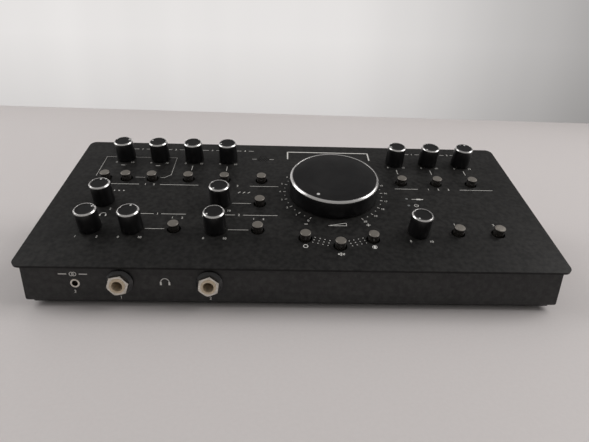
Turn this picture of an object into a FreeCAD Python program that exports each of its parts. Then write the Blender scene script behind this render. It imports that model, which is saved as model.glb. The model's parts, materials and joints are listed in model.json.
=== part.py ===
import FreeCAD, Part
import os
import re
import Sketcher
from FreeCAD import Placement, Rotation, Vector

# Studio monitor controller: a low wedge-shaped steel case whose tilted top plate carries
# a volume dial, thirteen small knobs and seventeen push buttons, with headphone jacks in
# the front wall and line sockets in the rear wall.
# Frame: +X to the user's right, +Y to the rear, +Z up. The origin lies on the table under
# the middle of the outline. All lengths are millimetres and all angles are degrees.

# Driving dimensions
SIZES = {
    # case
    "plate_width": 330.0,
    "plate_depth": 144.0,
    "plate_gauge": 1.5,
    "plate_corner": 5.0,
    "plate_tilt": 17.5,
    "front_height": 26.0,
    "side_overhang": 4.2,
    "front_overhang": 3.0,
    "rear_overhang": 5.0,
    "wall_gauge": 1.2,
    "wall_bend": 2.2,
    "corner_return": 8.0,
    "side_flange": 9.0,
    "end_flange": 4.5,
    "cover_gauge": 1.2,
    "cover_inset": 2.4,
    "cover_corner": 2.0,
    "foot_radius": 6.5,
    "foot_taper": 0.5,
    "foot_height": 2.5,
    "foot_inset": 20.8,
    # layout of the controls on the plate: an inset is measured from its nearest edge, a column
    # from its middle and a row from its front edge
    "input_inset": 34.75,
    "monitor_inset": 33.25,
    "rear_row_inset": 23.8,
    "monitor_column": 79.25,
    "talk_column": -24.5,
    "talk_gap": 27.0,
    "dial_column": 27.25,
    "front_row": 35.0,
    "dial_row": 78.4,
    "pair_spacing": 15.0,
    "mute_reach": 57.5,
    "mono_reach": 55.0,
    "mono_turn": 23.0,
    "microphone_inset": 22.0,
    "lamp_row": 64.2,
    "lamp_pitch": 7.9,
    # small knobs
    "knob_radius": 6.8,
    "knob_flare": 0.25,
    "knob_height": 15.0,
    "knob_gap": 0.6,
    "knob_hollow_radius": 5.6,
    "knob_hollow_depth": 2.5,
    "knob_bore_depth": 10.0,
    "ring_height": 1.0,
    "ring_bevel": 0.65,
    "ring_wall": 1.1,
    "disc_drop": 0.25,
    "pip_radius": 0.65,
    "pip_height": 0.12,
    "pip_edge": 0.25,
    # volume dial
    "dial_radius": 31.0,
    "dial_flare": 0.2,
    "dial_height": 14.0,
    "dial_gap": 0.8,
    "dial_wall": 3.0,
    "dial_boss_radius": 7.0,
    "dial_ring_height": 1.5,
    "dial_ring_bevel": 1.0,
    "dial_ring_wall": 1.7,
    "dial_pip_radius": 1.1,
    "dial_pip_reach": 25.0,
    # push buttons
    "button_radius": 3.4,
    "button_height": 5.1,
    "button_skirt": 3.2,
    "button_edge": 0.3,
    "button_hole_gap": 1.0,
    "plunger_side": 3.0,
    "plunger_fit": 0.1,
    "plunger_grip": 3.5,
    "plunger_reach": 1.7,
    "switch_side": 8.0,
    "switch_height": 6.0,
    "button_travel": 1.5,
    "plunger_stop_gap": 1.0,
    # potentiometers and boards
    "shaft_radius": 3.0,
    "shaft_clearance": 0.05,
    "shaft_end_gap": 0.4,
    "shaft_hole_gap": 0.7,
    "pot_width": 9.8,
    "pot_depth": 11.0,
    "pot_height": 6.8,
    "bushing_radius": 4.0,
    "bushing_height": 4.6,
    "volume_pot_radius": 8.5,
    "volume_bushing_radius": 4.8,
    "pot_floor": 1.2,
    "board_drop": 12.0,
    "board_gauge": 1.6,
    "board_side_inset": 15.0,
    "board_front": 28.0,
    "board_rear_inset": 15.0,
    "board_notch_edge": -28.0,
    "board_tongue": 15.0,
    "standoff_radius": 2.75,
    "standoff_side_inset": 22.0,
    "standoff_mid_left": -90.0,
    "standoff_middle": 0.0,
    "standoff_mid_right": 62.0,
    "standoff_front_row": 49.0,
    "standoff_rear_inset": 42.0,
    # fasteners
    "screw_radius": 1.5,
    "screw_hole_gap": 0.2,
    "screw_head_radius": 2.8,
    "screw_head_height": 1.6,
    "screw_length": 5.0,
    "stud_length": 7.0,
    "stud_inset": 5.3,
    "stud_front": 20.0,
    "nut_half_width": 2.75,
    "nut_height": 2.4,
    # microphone and lamps
    "capsule_radius": 4.85,
    "capsule_height": 6.5,
    "capsule_gap": 0.4,
    "boot_wall": 1.3,
    "boot_lip": 4.9,
    "grille_hole_radius": 0.55,
    "grille_pitch": 2.0,
    "lamp_pin_radius": 0.9,
    "lamp_hole_gap": 0.1,
    "lamp_base_radius": 1.8,
    "lamp_gap": 0.2,
    "lamp_proud": 0.15,
    # 6.35 mm jacks
    "jack_bore_radius": 3.2,
    "jack_bushing_radius": 4.5,
    "jack_hole_gap": 0.2,
    "jack_body_width": 16.0,
    "jack_body_height": 15.0,
    "jack_body_depth": 25.0,
    "jack_end_wall": 4.0,
    "jack_proud": 0.6,
    "jack_nut_half_width": 5.75,
    "jack_nut_height": 2.4,
    "nut_chamfer_reach": 0.25,
    "collar_radius": 8.0,
    "collar_height": 3.0,
    "collar_lip": 1.3,
    "collar_crown": 1.7,
    "front_jack_drop": 11.1,
    # 3.5 mm jack
    "stereo_bore_radius": 1.8,
    "stereo_ferrule_radius": 2.7,
    "stereo_nose_radius": 3.5,
    "stereo_nose_gap": 0.1,
    "stereo_ferrule_proud": 0.4,
    "stereo_ferrule_depth": 3.0,
    "stereo_body_width": 8.0,
    "stereo_body_rise": 3.8,
    "stereo_body_depth": 13.0,
    "stereo_bore_depth": 12.0,
    "stereo_jack_drop": 12.3,
    "front_board_margin": 6.0,
    "front_board_gap": 1.0,
    "front_board_tail": 2.0,
    # rear sockets
    "line_jack_width": 14.0,
    "line_jack_proud": 1.0,
    "line_nut_height": 2.0,
    "line_combo_gap": 29.0,
    "line_pitch": 20.0,
    "line_row": 19.0,
    "line_row_pitch": 19.0,
    "socket_depth": 24.0,
    "combo_inset": 32.0,
    "combo_pitch": 30.0,
    "combo_row": 28.0,
    "combo_width": 26.0,
    "combo_height": 31.0,
    "combo_flange": 1.6,
    "combo_body_radius": 11.8,
    "combo_hole_gap": 0.3,
    "combo_ring_outer": 9.4,
    "combo_ring_inner": 7.6,
    "combo_ring_depth": 14.0,
    "combo_pin_radius": 1.3,
    "combo_pin_reach": 5.3,
    "combo_screw_x": 9.8,
    "combo_screw_y": 12.3,
    "computer_column": -56.0,
    "computer_width": 12.0,
    "computer_height": 11.0,
    "computer_mouth_width": 8.6,
    "computer_mouth_height": 7.9,
    "computer_mouth_depth": 12.0,
    "computer_tongue_width": 5.6,
    "computer_tongue_height": 3.2,
    "computer_tongue_inset": 2.0,
    "inlet_column": -82.0,
    "inlet_nose_radius": 5.3,
    "inlet_body_side": 12.0,
    "inlet_bore_radius": 3.15,
    "inlet_bore_depth": 9.5,
    "inlet_pin_radius": 1.0,
    "inlet_pin_inset": 1.0,
    "socket_hole_gap": 0.2,
    "socket_proud": 0.4,
    "rear_board_left": -95.0,
    "rear_board_inset": 15.0,
    "rear_board_bottom": 8.0,
    "rear_board_top": 44.0,
    # rear power switch
    "rocker_column": -115.0,
    "rocker_row": 28.0,
    "bezel_width": 15.0,
    "bezel_height": 21.0,
    "bezel_gauge": 2.0,
    "housing_width": 12.8,
    "housing_height": 18.8,
    "housing_depth": 14.0,
    "rocker_well_depth": 11.0,
    "rocker_width": 9.6,
    "rocker_height": 15.2,
    "rocker_side_gap": 0.2,
    "rocker_end_gap": 0.8,
    "rocker_pivot_depth": 2.0,
    "rocker_below_pivot": 2.2,
    "rocker_horn": 5.4,
    "rocker_dip": 3.4,
    "rocker_pin_radius": 1.2,
    "rocker_pin_reach": 6.0,
    "rocker_pin_gap": 0.05,
    "terminal_gauge": 0.8,
    "terminal_width": 4.8,
    "terminal_length": 7.0,
    "terminal_pitch": 8.0,
    "rocker_tilt": 7.0,
    # how far a cutter runs past a sheet on each side
    "cutter_margin": 1.0,
}

# Columns and rows of controls, spread evenly: the inputs from the left margin to the talkback
# column, the monitors to the right margin, and the rows from the front row to the rear margin
INPUT_COLUMN = "(input_inset - plate_width / 2)"
INPUT_PITCH = "((talk_column - talk_gap - %s) / 3)" % INPUT_COLUMN
MONITOR_PITCH = "((plate_width / 2 - monitor_inset - monitor_column) / 2)"
ROW_PITCH = "((plate_depth - rear_row_inset - front_row) / 3)"
COLUMN_GROUPS = {"input": (INPUT_COLUMN, INPUT_PITCH), "monitor": ("monitor_column", MONITOR_PITCH)}


def column_at(group_name, step=0):
    first, pitch = COLUMN_GROUPS[group_name]
    return "(%s + %d * %s)" % (first, step, pitch)


def row_at(step):
    return "(front_row + %d * %s)" % (step, ROW_PITCH)


# Where each knob stands (column group, pitches to the right, row) and where its pointer is set,
# in degrees clockwise from straight back
KNOB_ROWS = {"front": 0, "second": 1, "rear": 3}
KNOBS = {
    "headphone_mix_knob": ("input", 0, "front", 47),
    "headphone_level_knob_1": ("input", 1, "front", 7),
    "source_mix_knob": ("input", 0, "second", -3),
    "headphone_level_knob_2": ("input", 3, "front", -124),
    "studio_level_knob": ("input", 3, "second", -137),
    "talkback_level_knob": ("monitor", 0, "front", -141),
    "input_gain_knob_1": ("input", 0, "rear", 64),
    "input_gain_knob_2": ("input", 1, "rear", -68),
    "input_gain_knob_3": ("input", 2, "rear", -133),
    "input_gain_knob_4": ("input", 3, "rear", -101),
    "monitor_trim_knob_1": ("monitor", 0, "rear", -96),
    "monitor_trim_knob_2": ("monitor", 1, "rear", -132),
    "monitor_trim_knob_3": ("monitor", 2, "rear", 18),
}
DIAL_TURN = -150

# Where each push button stands, across and along the plate
BUTTON_ROW = row_at(2)
BUTTONS = {
    "phantom_power_button": (column_at("input") + " - pair_spacing / 2", BUTTON_ROW),
    "instrument_button_1": (column_at("input") + " + pair_spacing / 2", BUTTON_ROW),
    "instrument_button_2": (column_at("input", 1), BUTTON_ROW),
    "source_button_1": (column_at("input", 2), BUTTON_ROW),
    "source_button_2": (column_at("input", 3), BUTTON_ROW),
    "talkback_button": ("talk_column", BUTTON_ROW),
    "monitor_select_button_1": (column_at("monitor"), BUTTON_ROW),
    "monitor_select_button_2": (column_at("monitor", 1), BUTTON_ROW),
    "monitor_select_button_3": (column_at("monitor", 2), BUTTON_ROW),
    "studio_source_button": ("talk_column", row_at(1)),
    "headphone_source_button_1": (column_at("input", 2), "front_row"),
    "headphone_source_button_2": ("talk_column", "front_row"),
    "mono_button": (
        "dial_column - mono_reach * sin(mono_turn * 1deg)",
        "dial_row - mono_reach * cos(mono_turn * 1deg)",
    ),
    "mute_button": ("dial_column", "dial_row - mute_reach"),
    "dim_button": (
        "dial_column + mono_reach * sin(mono_turn * 1deg)",
        "dial_row - mono_reach * cos(mono_turn * 1deg)",
    ),
    "two_track_button": (column_at("monitor", 1), "front_row"),
    "computer_sound_button": (column_at("monitor", 2), "front_row"),
}

# Counts and the turns of the hexagon nuts, which stop where they were tightened
GRILLE_ROWS = (3, 4, 5, 4, 3)
LINE_JACKS_PER_ROW = 6
COMBO_PIN_TURNS = (90, 210, 330)
FRONT_NUT_TURNS = (12, 22)
LINE_NUT_TURNS = (4, 19, 11, 27, 8, 15, 22, 2, 17, 9, 25, 13)

# Places that several pieces share, as formulas of the sizes
TILT = "(plate_tilt * 1deg)"
TOP_EDGE = "(foot_height + front_height)"
WALL_BOTTOM = "(foot_height + cover_gauge)"
WALL_HALF_WIDTH = "(plate_width / 2 - side_overhang)"
PLATE_REACH = "(plate_depth * cos%s)" % TILT
WALL_FRONT = "front_overhang"
WALL_REAR = "(plate_depth * cos%s - rear_overhang)" % TILT
FRONTMOST = "(front_overhang - collar_height - jack_nut_height - jack_proud)"
REARMOST = "(plate_depth * cos%s + plate_gauge * sin%s)" % (TILT, TILT)
SHIFT = "(-(%s + %s) / 2)" % (FRONTMOST, REARMOST)
BOARD_TOP = "(-plate_gauge - board_drop)"
CUTTER_LOW = "(-wall_gauge - cutter_margin)"
CUTTER_LENGTH = "(wall_gauge + 2 * cutter_margin)"
SCREW_HOLE = "(screw_radius + screw_hole_gap)"
STUD_X = "(plate_width / 2 - side_overhang - stud_inset)"
FRONT_BOARD_TOP = "(foot_height + front_height - front_jack_drop - jack_body_height / 2)"
REAR_BOARD_FACE = "(plate_depth * cos%s - rear_overhang - wall_gauge - socket_depth)" % TILT

doc = FreeCAD.newDocument("MonitorController")
sheet = doc.addObject("Spreadsheet::Sheet", "Sizes")
for row_number, (alias, number) in enumerate(SIZES.items(), start=1):
    sheet.set("A%d" % row_number, alias)
    sheet.set("B%d" % row_number, str(number))
    sheet.setAlias("B%d" % row_number, alias)
doc.recompute()


def sheet_name(word):
    """Write a size's name as the sheet knows it and leave other words alone."""
    return "Sizes." + word.group() if word.group() in SIZES else word.group()


def formula(text):
    return re.sub(r"[a-z_]+", sheet_name, text)


def tie(item, **sizes):
    """Bind an object's sizes to the sheet."""
    for size, text in sizes.items():
        item.setExpression(size, formula(text))
    return item


def move(item, x="0", y="0", z="0"):
    """Bind an object's place to the sheet."""
    for axis, text in zip("xyz", (x, y, z)):
        item.setExpression("Placement.Base." + axis, formula(text))
    return item


def turned(item, *rotations):
    """Turn an object by rotations about its own axes, one after the other."""
    total = Rotation()
    for axis, angle in rotations:
        total = total * Rotation(axis, angle)
    item.Placement = Placement(Vector(0, 0, 0), total)
    return item


def tilted(item, angle):
    """Turn an object about its x axis by an angle bound to the sheet."""
    turned(item, (X_AXIS, 1))
    item.setExpression("Placement.Rotation.Angle", formula("%s * 1deg" % angle))
    return item


X_AXIS = Vector(1, 0, 0)
Y_AXIS = Vector(0, 1, 0)
Z_AXIS = Vector(0, 0, 1)


# Millimetres within which two lengths count as the same
NEAR = 0.01


# Plain solids and booleans
def cylinder(radius, height, x="0", y="0", z="0"):
    item = doc.addObject("Part::Cylinder", "Cylinder")
    return move(tie(item, Radius=radius, Height=height), x, y, z)


def rod(radius, length, z="0"):
    """A cylinder along x, centred on it."""
    item = turned(doc.addObject("Part::Cylinder", "Rod"), (Y_AXIS, 90))
    return move(tie(item, Radius=radius, Height=length), x="-(%s) / 2" % length, z=z)


def cone(low_radius, high_radius, height, z="0"):
    item = doc.addObject("Part::Cone", "Cone")
    return move(tie(item, Radius1=low_radius, Radius2=high_radius, Height=height), z=z)


def block(width, depth, height, x="0", y="0", z="0"):
    """A box centred on x and y that stands on z."""
    item = doc.addObject("Part::Box", "Box")
    tie(item, Length=width, Width=depth, Height=height)
    return move(item, "%s - (%s) / 2" % (x, width), "%s - (%s) / 2" % (y, depth), z)


def join(*items):
    item = doc.addObject("Part::MultiFuse", "Join")
    item.Shapes = list(items)
    item.Refine = True
    return item


def cut(base, *tools):
    item = doc.addObject("Part::Cut", "Cut")
    item.Base = base
    item.Tool = tools[0] if len(tools) == 1 else group(*tools)
    item.Refine = True
    return item


def common(*items):
    item = doc.addObject("Part::MultiCommon", "Common")
    item.Shapes = list(items)
    return item


def group(*items):
    """Separate solids kept as one object."""
    item = doc.addObject("Part::Compound", "Group")
    item.Links = list(items)
    return item


def tube(outer, inner, height, z="0"):
    return cut(cylinder(outer, height, z=z), cylinder(inner, height, z=z))


def hexagon_nut(half_width, bore, height, z, turn):
    """A nut whose corners are chamfered on its upper face."""
    blank = turned(doc.addObject("Part::Prism", "Hexagon"), (Z_AXIS, turn))
    blank.Polygon = 6
    move(tie(blank, Circumradius="%s * 2 / sqrt(3)" % half_width, Height=height), z=z)
    rim = half_width + " + nut_chamfer_reach"
    chamfer = cone("%s + 2 * (%s)" % (rim, height), rim, height, z)
    return cut(common(blank, chamfer), cylinder(bore, height, z=z))


def pan_screw(head_base, shank_length):
    """A screw whose head hangs below head_base and whose shank stands on it."""
    head = cylinder("screw_head_radius", "screw_head_height", z="%s - screw_head_height" % head_base)
    return join(head, cylinder("screw_radius", shank_length, z=head_base))


# Sketched bodies
def new_body(name):
    return doc.addObject("PartDesign::Body", name)


def new_sketch(body, role, lift="0"):
    """A sketch on one of the body's origin planes, lifted along that plane's normal."""
    plane = next(item for item in body.Origin.OriginFeatures if item.Role == role)
    sketch = body.newObject("Sketcher::SketchObject", "Sketch")
    sketch.AttachmentSupport = [(plane, "")]
    sketch.MapMode = "FlatFace"
    sketch.setExpression("AttachmentOffset.Base.z", formula(lift))
    return sketch


def fix_point(sketch, geometry, point, x, y):
    """Tie a point's two distances from the sketch's origin to the sheet."""
    # Each distance starts at a value of its own, so that no two points start in one place
    for kind, text in (("DistanceX", x), ("DistanceY", y)):
        start = sketch.ConstraintCount + 1.0
        index = sketch.addConstraint(Sketcher.Constraint(kind, -1, 1, geometry, point, start))
        sketch.setExpression("Constraints[%d]" % index, formula(text))


def draw_outline(sketch, corners):
    """Draw a closed outline of straight lines through the corners."""
    # The corners start on a parabola, so that no three of them start in line
    count = len(corners)
    for number in range(count):
        following = (number + 1) % count
        start = Vector(number, number**2, 0)
        end = Vector(following, following**2, 0)
        sketch.addGeometry(Part.LineSegment(start, end), False)
    for number in range(count):
        sketch.addConstraint(Sketcher.Constraint("Coincident", number, 2, (number + 1) % count, 1))
    for number, (x, y) in enumerate(corners):
        fix_point(sketch, number, 1, x, y)


def draw_circles(sketch, centres, radius):
    """Draw equal circles at the centres."""
    for x, y in centres:
        circle = sketch.addGeometry(Part.Circle(Vector(0, 0, 0), Z_AXIS, 1.0), False)
        fix_point(sketch, circle, 3, x, y)
        index = sketch.addConstraint(Sketcher.Constraint("Radius", circle, 1.0))
        sketch.setExpression("Constraints[%d]" % index, formula(radius))


def rectangle(x_low, x_high, y_low, y_high):
    return [(x_low, y_low), (x_high, y_low), (x_high, y_high), (x_low, y_high)]


def pad(body, sketch, length, side="One side"):
    """Thicken a sketch downwards, or to both sides of it alike."""
    feature = body.newObject("PartDesign::Pad", "Pad")
    feature.Profile = sketch
    feature.Reversed = side == "One side"
    feature.SideType = side
    return tie(feature, Length=length)


def pocket(body, sketch, length=None):
    """Cut a sketch to both sides of it, all the way or over a length."""
    feature = body.newObject("PartDesign::Pocket", "Pocket")
    feature.Profile = sketch
    feature.SideType = "Symmetric"
    if length is None:
        feature.Type = "ThroughAll"
        return feature
    return tie(feature, Length=length)


def fillet(body, base, radius, wanted):
    """Round the edges of a feature whose two end points pass a test."""
    doc.recompute()
    names = [
        "Edge%d" % number
        for number, edge in enumerate(base.Shape.Edges, start=1)
        if wanted(edge.Vertexes[0].Point, edge.Vertexes[-1].Point)
    ]
    feature = body.newObject("PartDesign::Fillet", "Fillet")
    feature.Base = (base, names)
    return tie(feature, Radius=radius)


def is_upright(start, end):
    return start.distanceToPoint(end) - abs(start.z - end.z) < NEAR


def rounded_sheet(name, half_width, y_low, y_high, gauge, corner):
    """A flat sheet with rounded corners that hangs down from its top face at z = 0."""
    body = new_body(name)
    outline = new_sketch(body, "XY_Plane")
    draw_outline(outline, rectangle("-(%s)" % half_width, half_width, y_low, y_high))
    sheet_pad = pad(body, outline, gauge)
    body.Tip = fillet(body, sheet_pad, corner, is_upright)
    return body


# Places
def on_plate(item, x="0", y="0"):
    """Stand an item on the tilted plate, with its own z axis along the plate's normal."""
    along = "%s + (%s) * cos%s" % (SHIFT, y, TILT)
    up = "%s + (%s) * sin%s" % (TOP_EDGE, y, TILT)
    return move(tilted(item, "plate_tilt"), x, along, up)


def on_front_wall(item, x, z):
    """Place an item on the front wall, with its own z axis out of the wall."""
    return move(turned(item, (X_AXIS, 90)), x, "%s + %s" % (SHIFT, WALL_FRONT), z)


def on_rear_wall(item, x, z, inward="0"):
    """Place an item on the rear wall, with its own z axis out of the wall and its x axis to the left."""
    turned(item, (Z_AXIS, 180), (X_AXIS, 90))
    return move(item, x, "%s + %s - %s" % (SHIFT, WALL_REAR, inward), z)


def in_case(item, x="0", y="0", z="0"):
    """Place an item that is measured from the plate's front edge and from the table."""
    return move(item, x, "%s + %s" % (SHIFT, y), z)


def knob_place(entry):
    group_name, step, row, turn = entry
    return column_at(group_name, step), row_at(KNOB_ROWS[row])


def grille_places():
    """A hexagonal field of holes over the microphone."""
    middle_x, middle_y = MICROPHONE_PLACE
    middle_row = len(GRILLE_ROWS) // 2
    places = []
    for row, count in enumerate(GRILLE_ROWS):
        along = "%s + %d * grille_pitch * sqrt(3) / 2" % (middle_y, row - middle_row)
        for step in range(count):
            across = "%s + %s * grille_pitch" % (middle_x, step - (count - 1) / 2)
            places.append((across, along))
    return places


KNOB_PLACES = {name: knob_place(entry) for name, entry in KNOBS.items()}
DIAL_PLACE = ("dial_column", "dial_row")
MICROPHONE_PLACE = ("talk_column", "(plate_depth - microphone_inset)")
LAMP_PLACES = [("monitor_column", "lamp_row + %d * lamp_pitch" % step) for step in range(2)]
STANDOFF_COLUMNS = (
    "(standoff_side_inset - plate_width / 2)",
    "standoff_mid_left",
    "standoff_middle",
    "standoff_mid_right",
    "(plate_width / 2 - standoff_side_inset)",
)
STANDOFF_ROWS = ("standoff_front_row", "(plate_depth - standoff_rear_inset)")
STANDOFF_PLACES = [(x, y) for x in STANDOFF_COLUMNS for y in STANDOFF_ROWS]
EDGE_COLUMNS = ("-" + STUD_X, STUD_X)
STUD_PLACES = [
    (x, "(stud_front + %d * (plate_depth - 2 * stud_front) / 2)" % step)
    for x in EDGE_COLUMNS
    for step in range(3)
]
COVER_SCREW_PLACES = [
    (x, "(stud_front + %d * (%s - 2 * stud_front) / 2)" % (step, WALL_REAR))
    for x in EDGE_COLUMNS
    for step in range(3)
]
FOOT_PLACES = [
    (x, y)
    for x in ("-(plate_width / 2 - foot_inset)", "(plate_width / 2 - foot_inset)")
    for y in ("foot_inset", "(%s - foot_inset)" % PLATE_REACH)
]
HEADPHONE_PLACES = [(column_at("input", step), TOP_EDGE + " - front_jack_drop") for step in (1, 3)]
STEREO_PLACE = (INPUT_COLUMN, TOP_EDGE + " - stereo_jack_drop")
COMBO_COLUMN = "(plate_width / 2 - combo_inset)"
LINE_COLUMN = "(%s - combo_pitch - line_combo_gap)" % COMBO_COLUMN
LINE_PLACES = [
    ("%s - %d * line_pitch" % (LINE_COLUMN, step), "line_row + %d * line_row_pitch" % level)
    for level in range(2)
    for step in range(LINE_JACKS_PER_ROW)
]
COMBO_PLACES = [("%s - %d * combo_pitch" % (COMBO_COLUMN, step), "combo_row") for step in range(2)]
COMBO_SCREWS = (("-combo_screw_x", "combo_screw_y"), ("combo_screw_x", "-combo_screw_y"))
COMPUTER_PLACE = ("computer_column", "line_row")
INLET_PLACE = ("inlet_column", "line_row")
ROCKER_PLACE = ("rocker_column", "rocker_row")


# Top plate with its pressed-in standoffs and studs
def make_top_plate():
    body = rounded_sheet("top_plate", "plate_width / 2", "0", "plate_depth", "plate_gauge", "plate_corner")
    for centres, radius in (
        (list(KNOB_PLACES.values()) + [DIAL_PLACE], "shaft_radius + shaft_hole_gap"),
        (BUTTONS.values(), "button_radius + button_hole_gap"),
        (LAMP_PLACES, "lamp_pin_radius + lamp_hole_gap"),
        (grille_places(), "grille_hole_radius"),
    ):
        holes = new_sketch(body, "XY_Plane")
        draw_circles(holes, centres, radius)
        body.Tip = pocket(body, holes)
    standoffs = new_sketch(body, "XY_Plane", "-plate_gauge")
    draw_circles(standoffs, STANDOFF_PLACES, "standoff_radius")
    draw_circles(standoffs, STANDOFF_PLACES, "screw_radius")
    body.Tip = pad(body, standoffs, "board_drop")
    studs = new_sketch(body, "XY_Plane", "-plate_gauge")
    draw_circles(studs, STUD_PLACES, "screw_radius")
    body.Tip = pad(body, studs, "stud_length")
    return on_plate(body)


def make_top_plate_nuts():
    low = "-plate_gauge - wall_gauge - nut_height"
    nuts = []
    for x, y in STUD_PLACES:
        nut = hexagon_nut("nut_half_width", "screw_radius", "nut_height", low, 0)
        nuts.append(on_plate(nut, x, y))
    return group(*nuts)


# Case walls: a welded frame of four folded sheets, with inward flanges round its open top and
# bottom. The front and rear sheets run round the corners and meet the side sheets there
def side_profile(front, rear, bottom, drop):
    """The wedge seen from its side, with its top a drop below the plate's top face, square to it."""
    top = "%s + (%s) * tan%s - (%s) / cos%s"
    return [
        (front, bottom),
        (rear, bottom),
        (rear, top % (TOP_EDGE, rear, TILT, drop, TILT)),
        (front, top % (TOP_EDGE, front, TILT, drop, TILT)),
    ]


def make_wall_shell():
    body = new_body("wall_shell")
    outer = new_sketch(body, "YZ_Plane")
    draw_outline(outer, side_profile(WALL_FRONT, WALL_REAR, WALL_BOTTOM, "plate_gauge"))
    wedge = pad(body, outer, "2 * " + WALL_HALF_WIDTH, "Symmetric")
    floor = SIZES["foot_height"] + SIZES["cover_gauge"]
    body.Tip = fillet(body, wedge, "wall_bend", lambda start, end: max(start.z, end.z) < floor + NEAR)
    inner = new_sketch(body, "YZ_Plane")
    inner_sides = (WALL_FRONT + " + wall_gauge", WALL_REAR + " - wall_gauge")
    inner_floor = WALL_BOTTOM + " + wall_gauge"
    draw_outline(inner, side_profile(*inner_sides, inner_floor, "plate_gauge + wall_gauge"))
    body.Tip = pocket(body, inner, "2 * (%s - wall_gauge)" % WALL_HALF_WIDTH)
    window = new_sketch(body, "XY_Plane")
    reach = "(%s - side_flange)" % WALL_HALF_WIDTH
    window_sides = (WALL_FRONT + " + end_flange", WALL_REAR + " - end_flange")
    draw_outline(window, rectangle("-" + reach, reach, *window_sides))
    body.Tip = pocket(body, window)
    return body


def round_hole(radius):
    """A cutter for a round hole through a wall whose outer face is at z = 0."""
    return group(cylinder(radius, CUTTER_LENGTH, z=CUTTER_LOW))


def square_hole(width, height):
    """A cutter for a rectangular hole, with the socket's gap all round."""
    across = "%s + 2 * socket_hole_gap" % width
    along = "%s + 2 * socket_hole_gap" % height
    return group(block(across, along, CUTTER_LENGTH, z=CUTTER_LOW))


def make_case_walls():
    cutters = []
    for x, y in STUD_PLACES:
        hole = cylinder(SCREW_HOLE, CUTTER_LENGTH, z="-plate_gauge + " + CUTTER_LOW)
        cutters.append(on_plate(group(hole), x, y))
    for x, y in COVER_SCREW_PLACES:
        cutters.append(in_case(cylinder(SCREW_HOLE, CUTTER_LENGTH), x, y, WALL_BOTTOM + " - cutter_margin"))
    jack_hole = "jack_bushing_radius + jack_hole_gap"
    for x, z in HEADPHONE_PLACES:
        cutters.append(on_front_wall(round_hole(jack_hole), x, z))
    cutters.append(on_front_wall(round_hole("stereo_nose_radius + stereo_nose_gap"), *STEREO_PLACE))
    for x, z in LINE_PLACES:
        cutters.append(on_rear_wall(round_hole(jack_hole), x, z))
    for x, z in COMBO_PLACES:
        cutters.append(on_rear_wall(round_hole("combo_body_radius + combo_hole_gap"), x, z))
        for across, up in COMBO_SCREWS:
            screw_place = ("%s - (%s)" % (x, across), "%s + %s" % (z, up))
            cutters.append(on_rear_wall(round_hole(SCREW_HOLE), *screw_place))
    cutters.append(on_rear_wall(square_hole("computer_width", "computer_height"), *COMPUTER_PLACE))
    cutters.append(on_rear_wall(round_hole("inlet_nose_radius + socket_hole_gap"), *INLET_PLACE))
    cutters.append(on_rear_wall(square_hole("housing_width", "housing_height"), *ROCKER_PLACE))
    frame = cut(in_case(make_wall_shell()), *cutters)
    front_seam = "(%s + corner_return)" % WALL_FRONT
    rear_seam = "(%s - corner_return)" % WALL_REAR
    stretches = (("0", front_seam), (front_seam, rear_seam), (rear_seam, PLATE_REACH))
    sheets = []
    for start, end in stretches:
        middle = "(%s + %s) / 2" % (start, end)
        stretch = block("plate_width", "%s - %s" % (end, start), "plate_depth", y=middle)
        sheets.append(common(frame, in_case(group(stretch))))
    return group(*sheets)


# Bottom cover, its screws and the feet
def make_bottom_cover():
    sides = (WALL_FRONT + " + cover_inset", WALL_REAR + " - cover_inset")
    half_width = WALL_HALF_WIDTH + " - cover_inset"
    body = rounded_sheet("bottom_cover", half_width, *sides, "cover_gauge", "cover_corner")
    holes = new_sketch(body, "XY_Plane")
    draw_circles(holes, COVER_SCREW_PLACES, SCREW_HOLE)
    body.Tip = pocket(body, holes)
    return in_case(body, z=WALL_BOTTOM)


def make_bottom_screws():
    return group(*[in_case(pan_screw("foot_height", "screw_length"), x, y) for x, y in COVER_SCREW_PLACES])


def make_rubber_feet():
    feet = []
    for x, y in FOOT_PLACES:
        feet.append(in_case(cone("foot_radius - foot_taper", "foot_radius", "foot_height"), x, y))
    return group(*feet)


# Main board and what stands on it
def make_main_board():
    body = new_body("main_board")
    outline = new_sketch(body, "XY_Plane", BOARD_TOP)
    front = "(board_front - board_tongue)"
    half = "(plate_width / 2 - board_side_inset)"
    rear = "(plate_depth - board_rear_inset)"
    draw_outline(
        outline,
        [
            ("-" + half, "board_front"),
            ("board_notch_edge", "board_front"),
            ("board_notch_edge", front),
            (half, front),
            (half, rear),
            ("-" + half, rear),
        ],
    )
    body.Tip = pad(body, outline, "board_gauge")
    holes = new_sketch(body, "XY_Plane", BOARD_TOP)
    draw_circles(holes, STANDOFF_PLACES, SCREW_HOLE)
    body.Tip = pocket(body, holes)
    return on_plate(body)


def make_main_board_screws():
    screws = []
    for x, y in STANDOFF_PLACES:
        screw = pan_screw(BOARD_TOP + " - board_gauge", "board_gauge + screw_length")
        screws.append(on_plate(screw, x, y))
    return group(*screws)


def potentiometer(body, bushing_radius):
    """A potentiometer on the board, with the blind bore that its shaft turns in."""
    bushing = cylinder(bushing_radius, "bushing_height", z=BOARD_TOP + " + pot_height")
    bore_height = "pot_height + bushing_height - pot_floor"
    bore = cylinder("shaft_radius + shaft_clearance", bore_height, z=BOARD_TOP + " + pot_floor")
    return cut(join(body, bushing), bore)


def make_potentiometers():
    pots = []
    for x, y in KNOB_PLACES.values():
        body = block("pot_width", "pot_depth", "pot_height", z=BOARD_TOP)
        pots.append(on_plate(potentiometer(body, "bushing_radius"), x, y))
    return group(*pots)


def make_volume_potentiometer():
    body = cylinder("volume_pot_radius", "pot_height", z=BOARD_TOP)
    return on_plate(potentiometer(body, "volume_bushing_radius"), *DIAL_PLACE)


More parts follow.
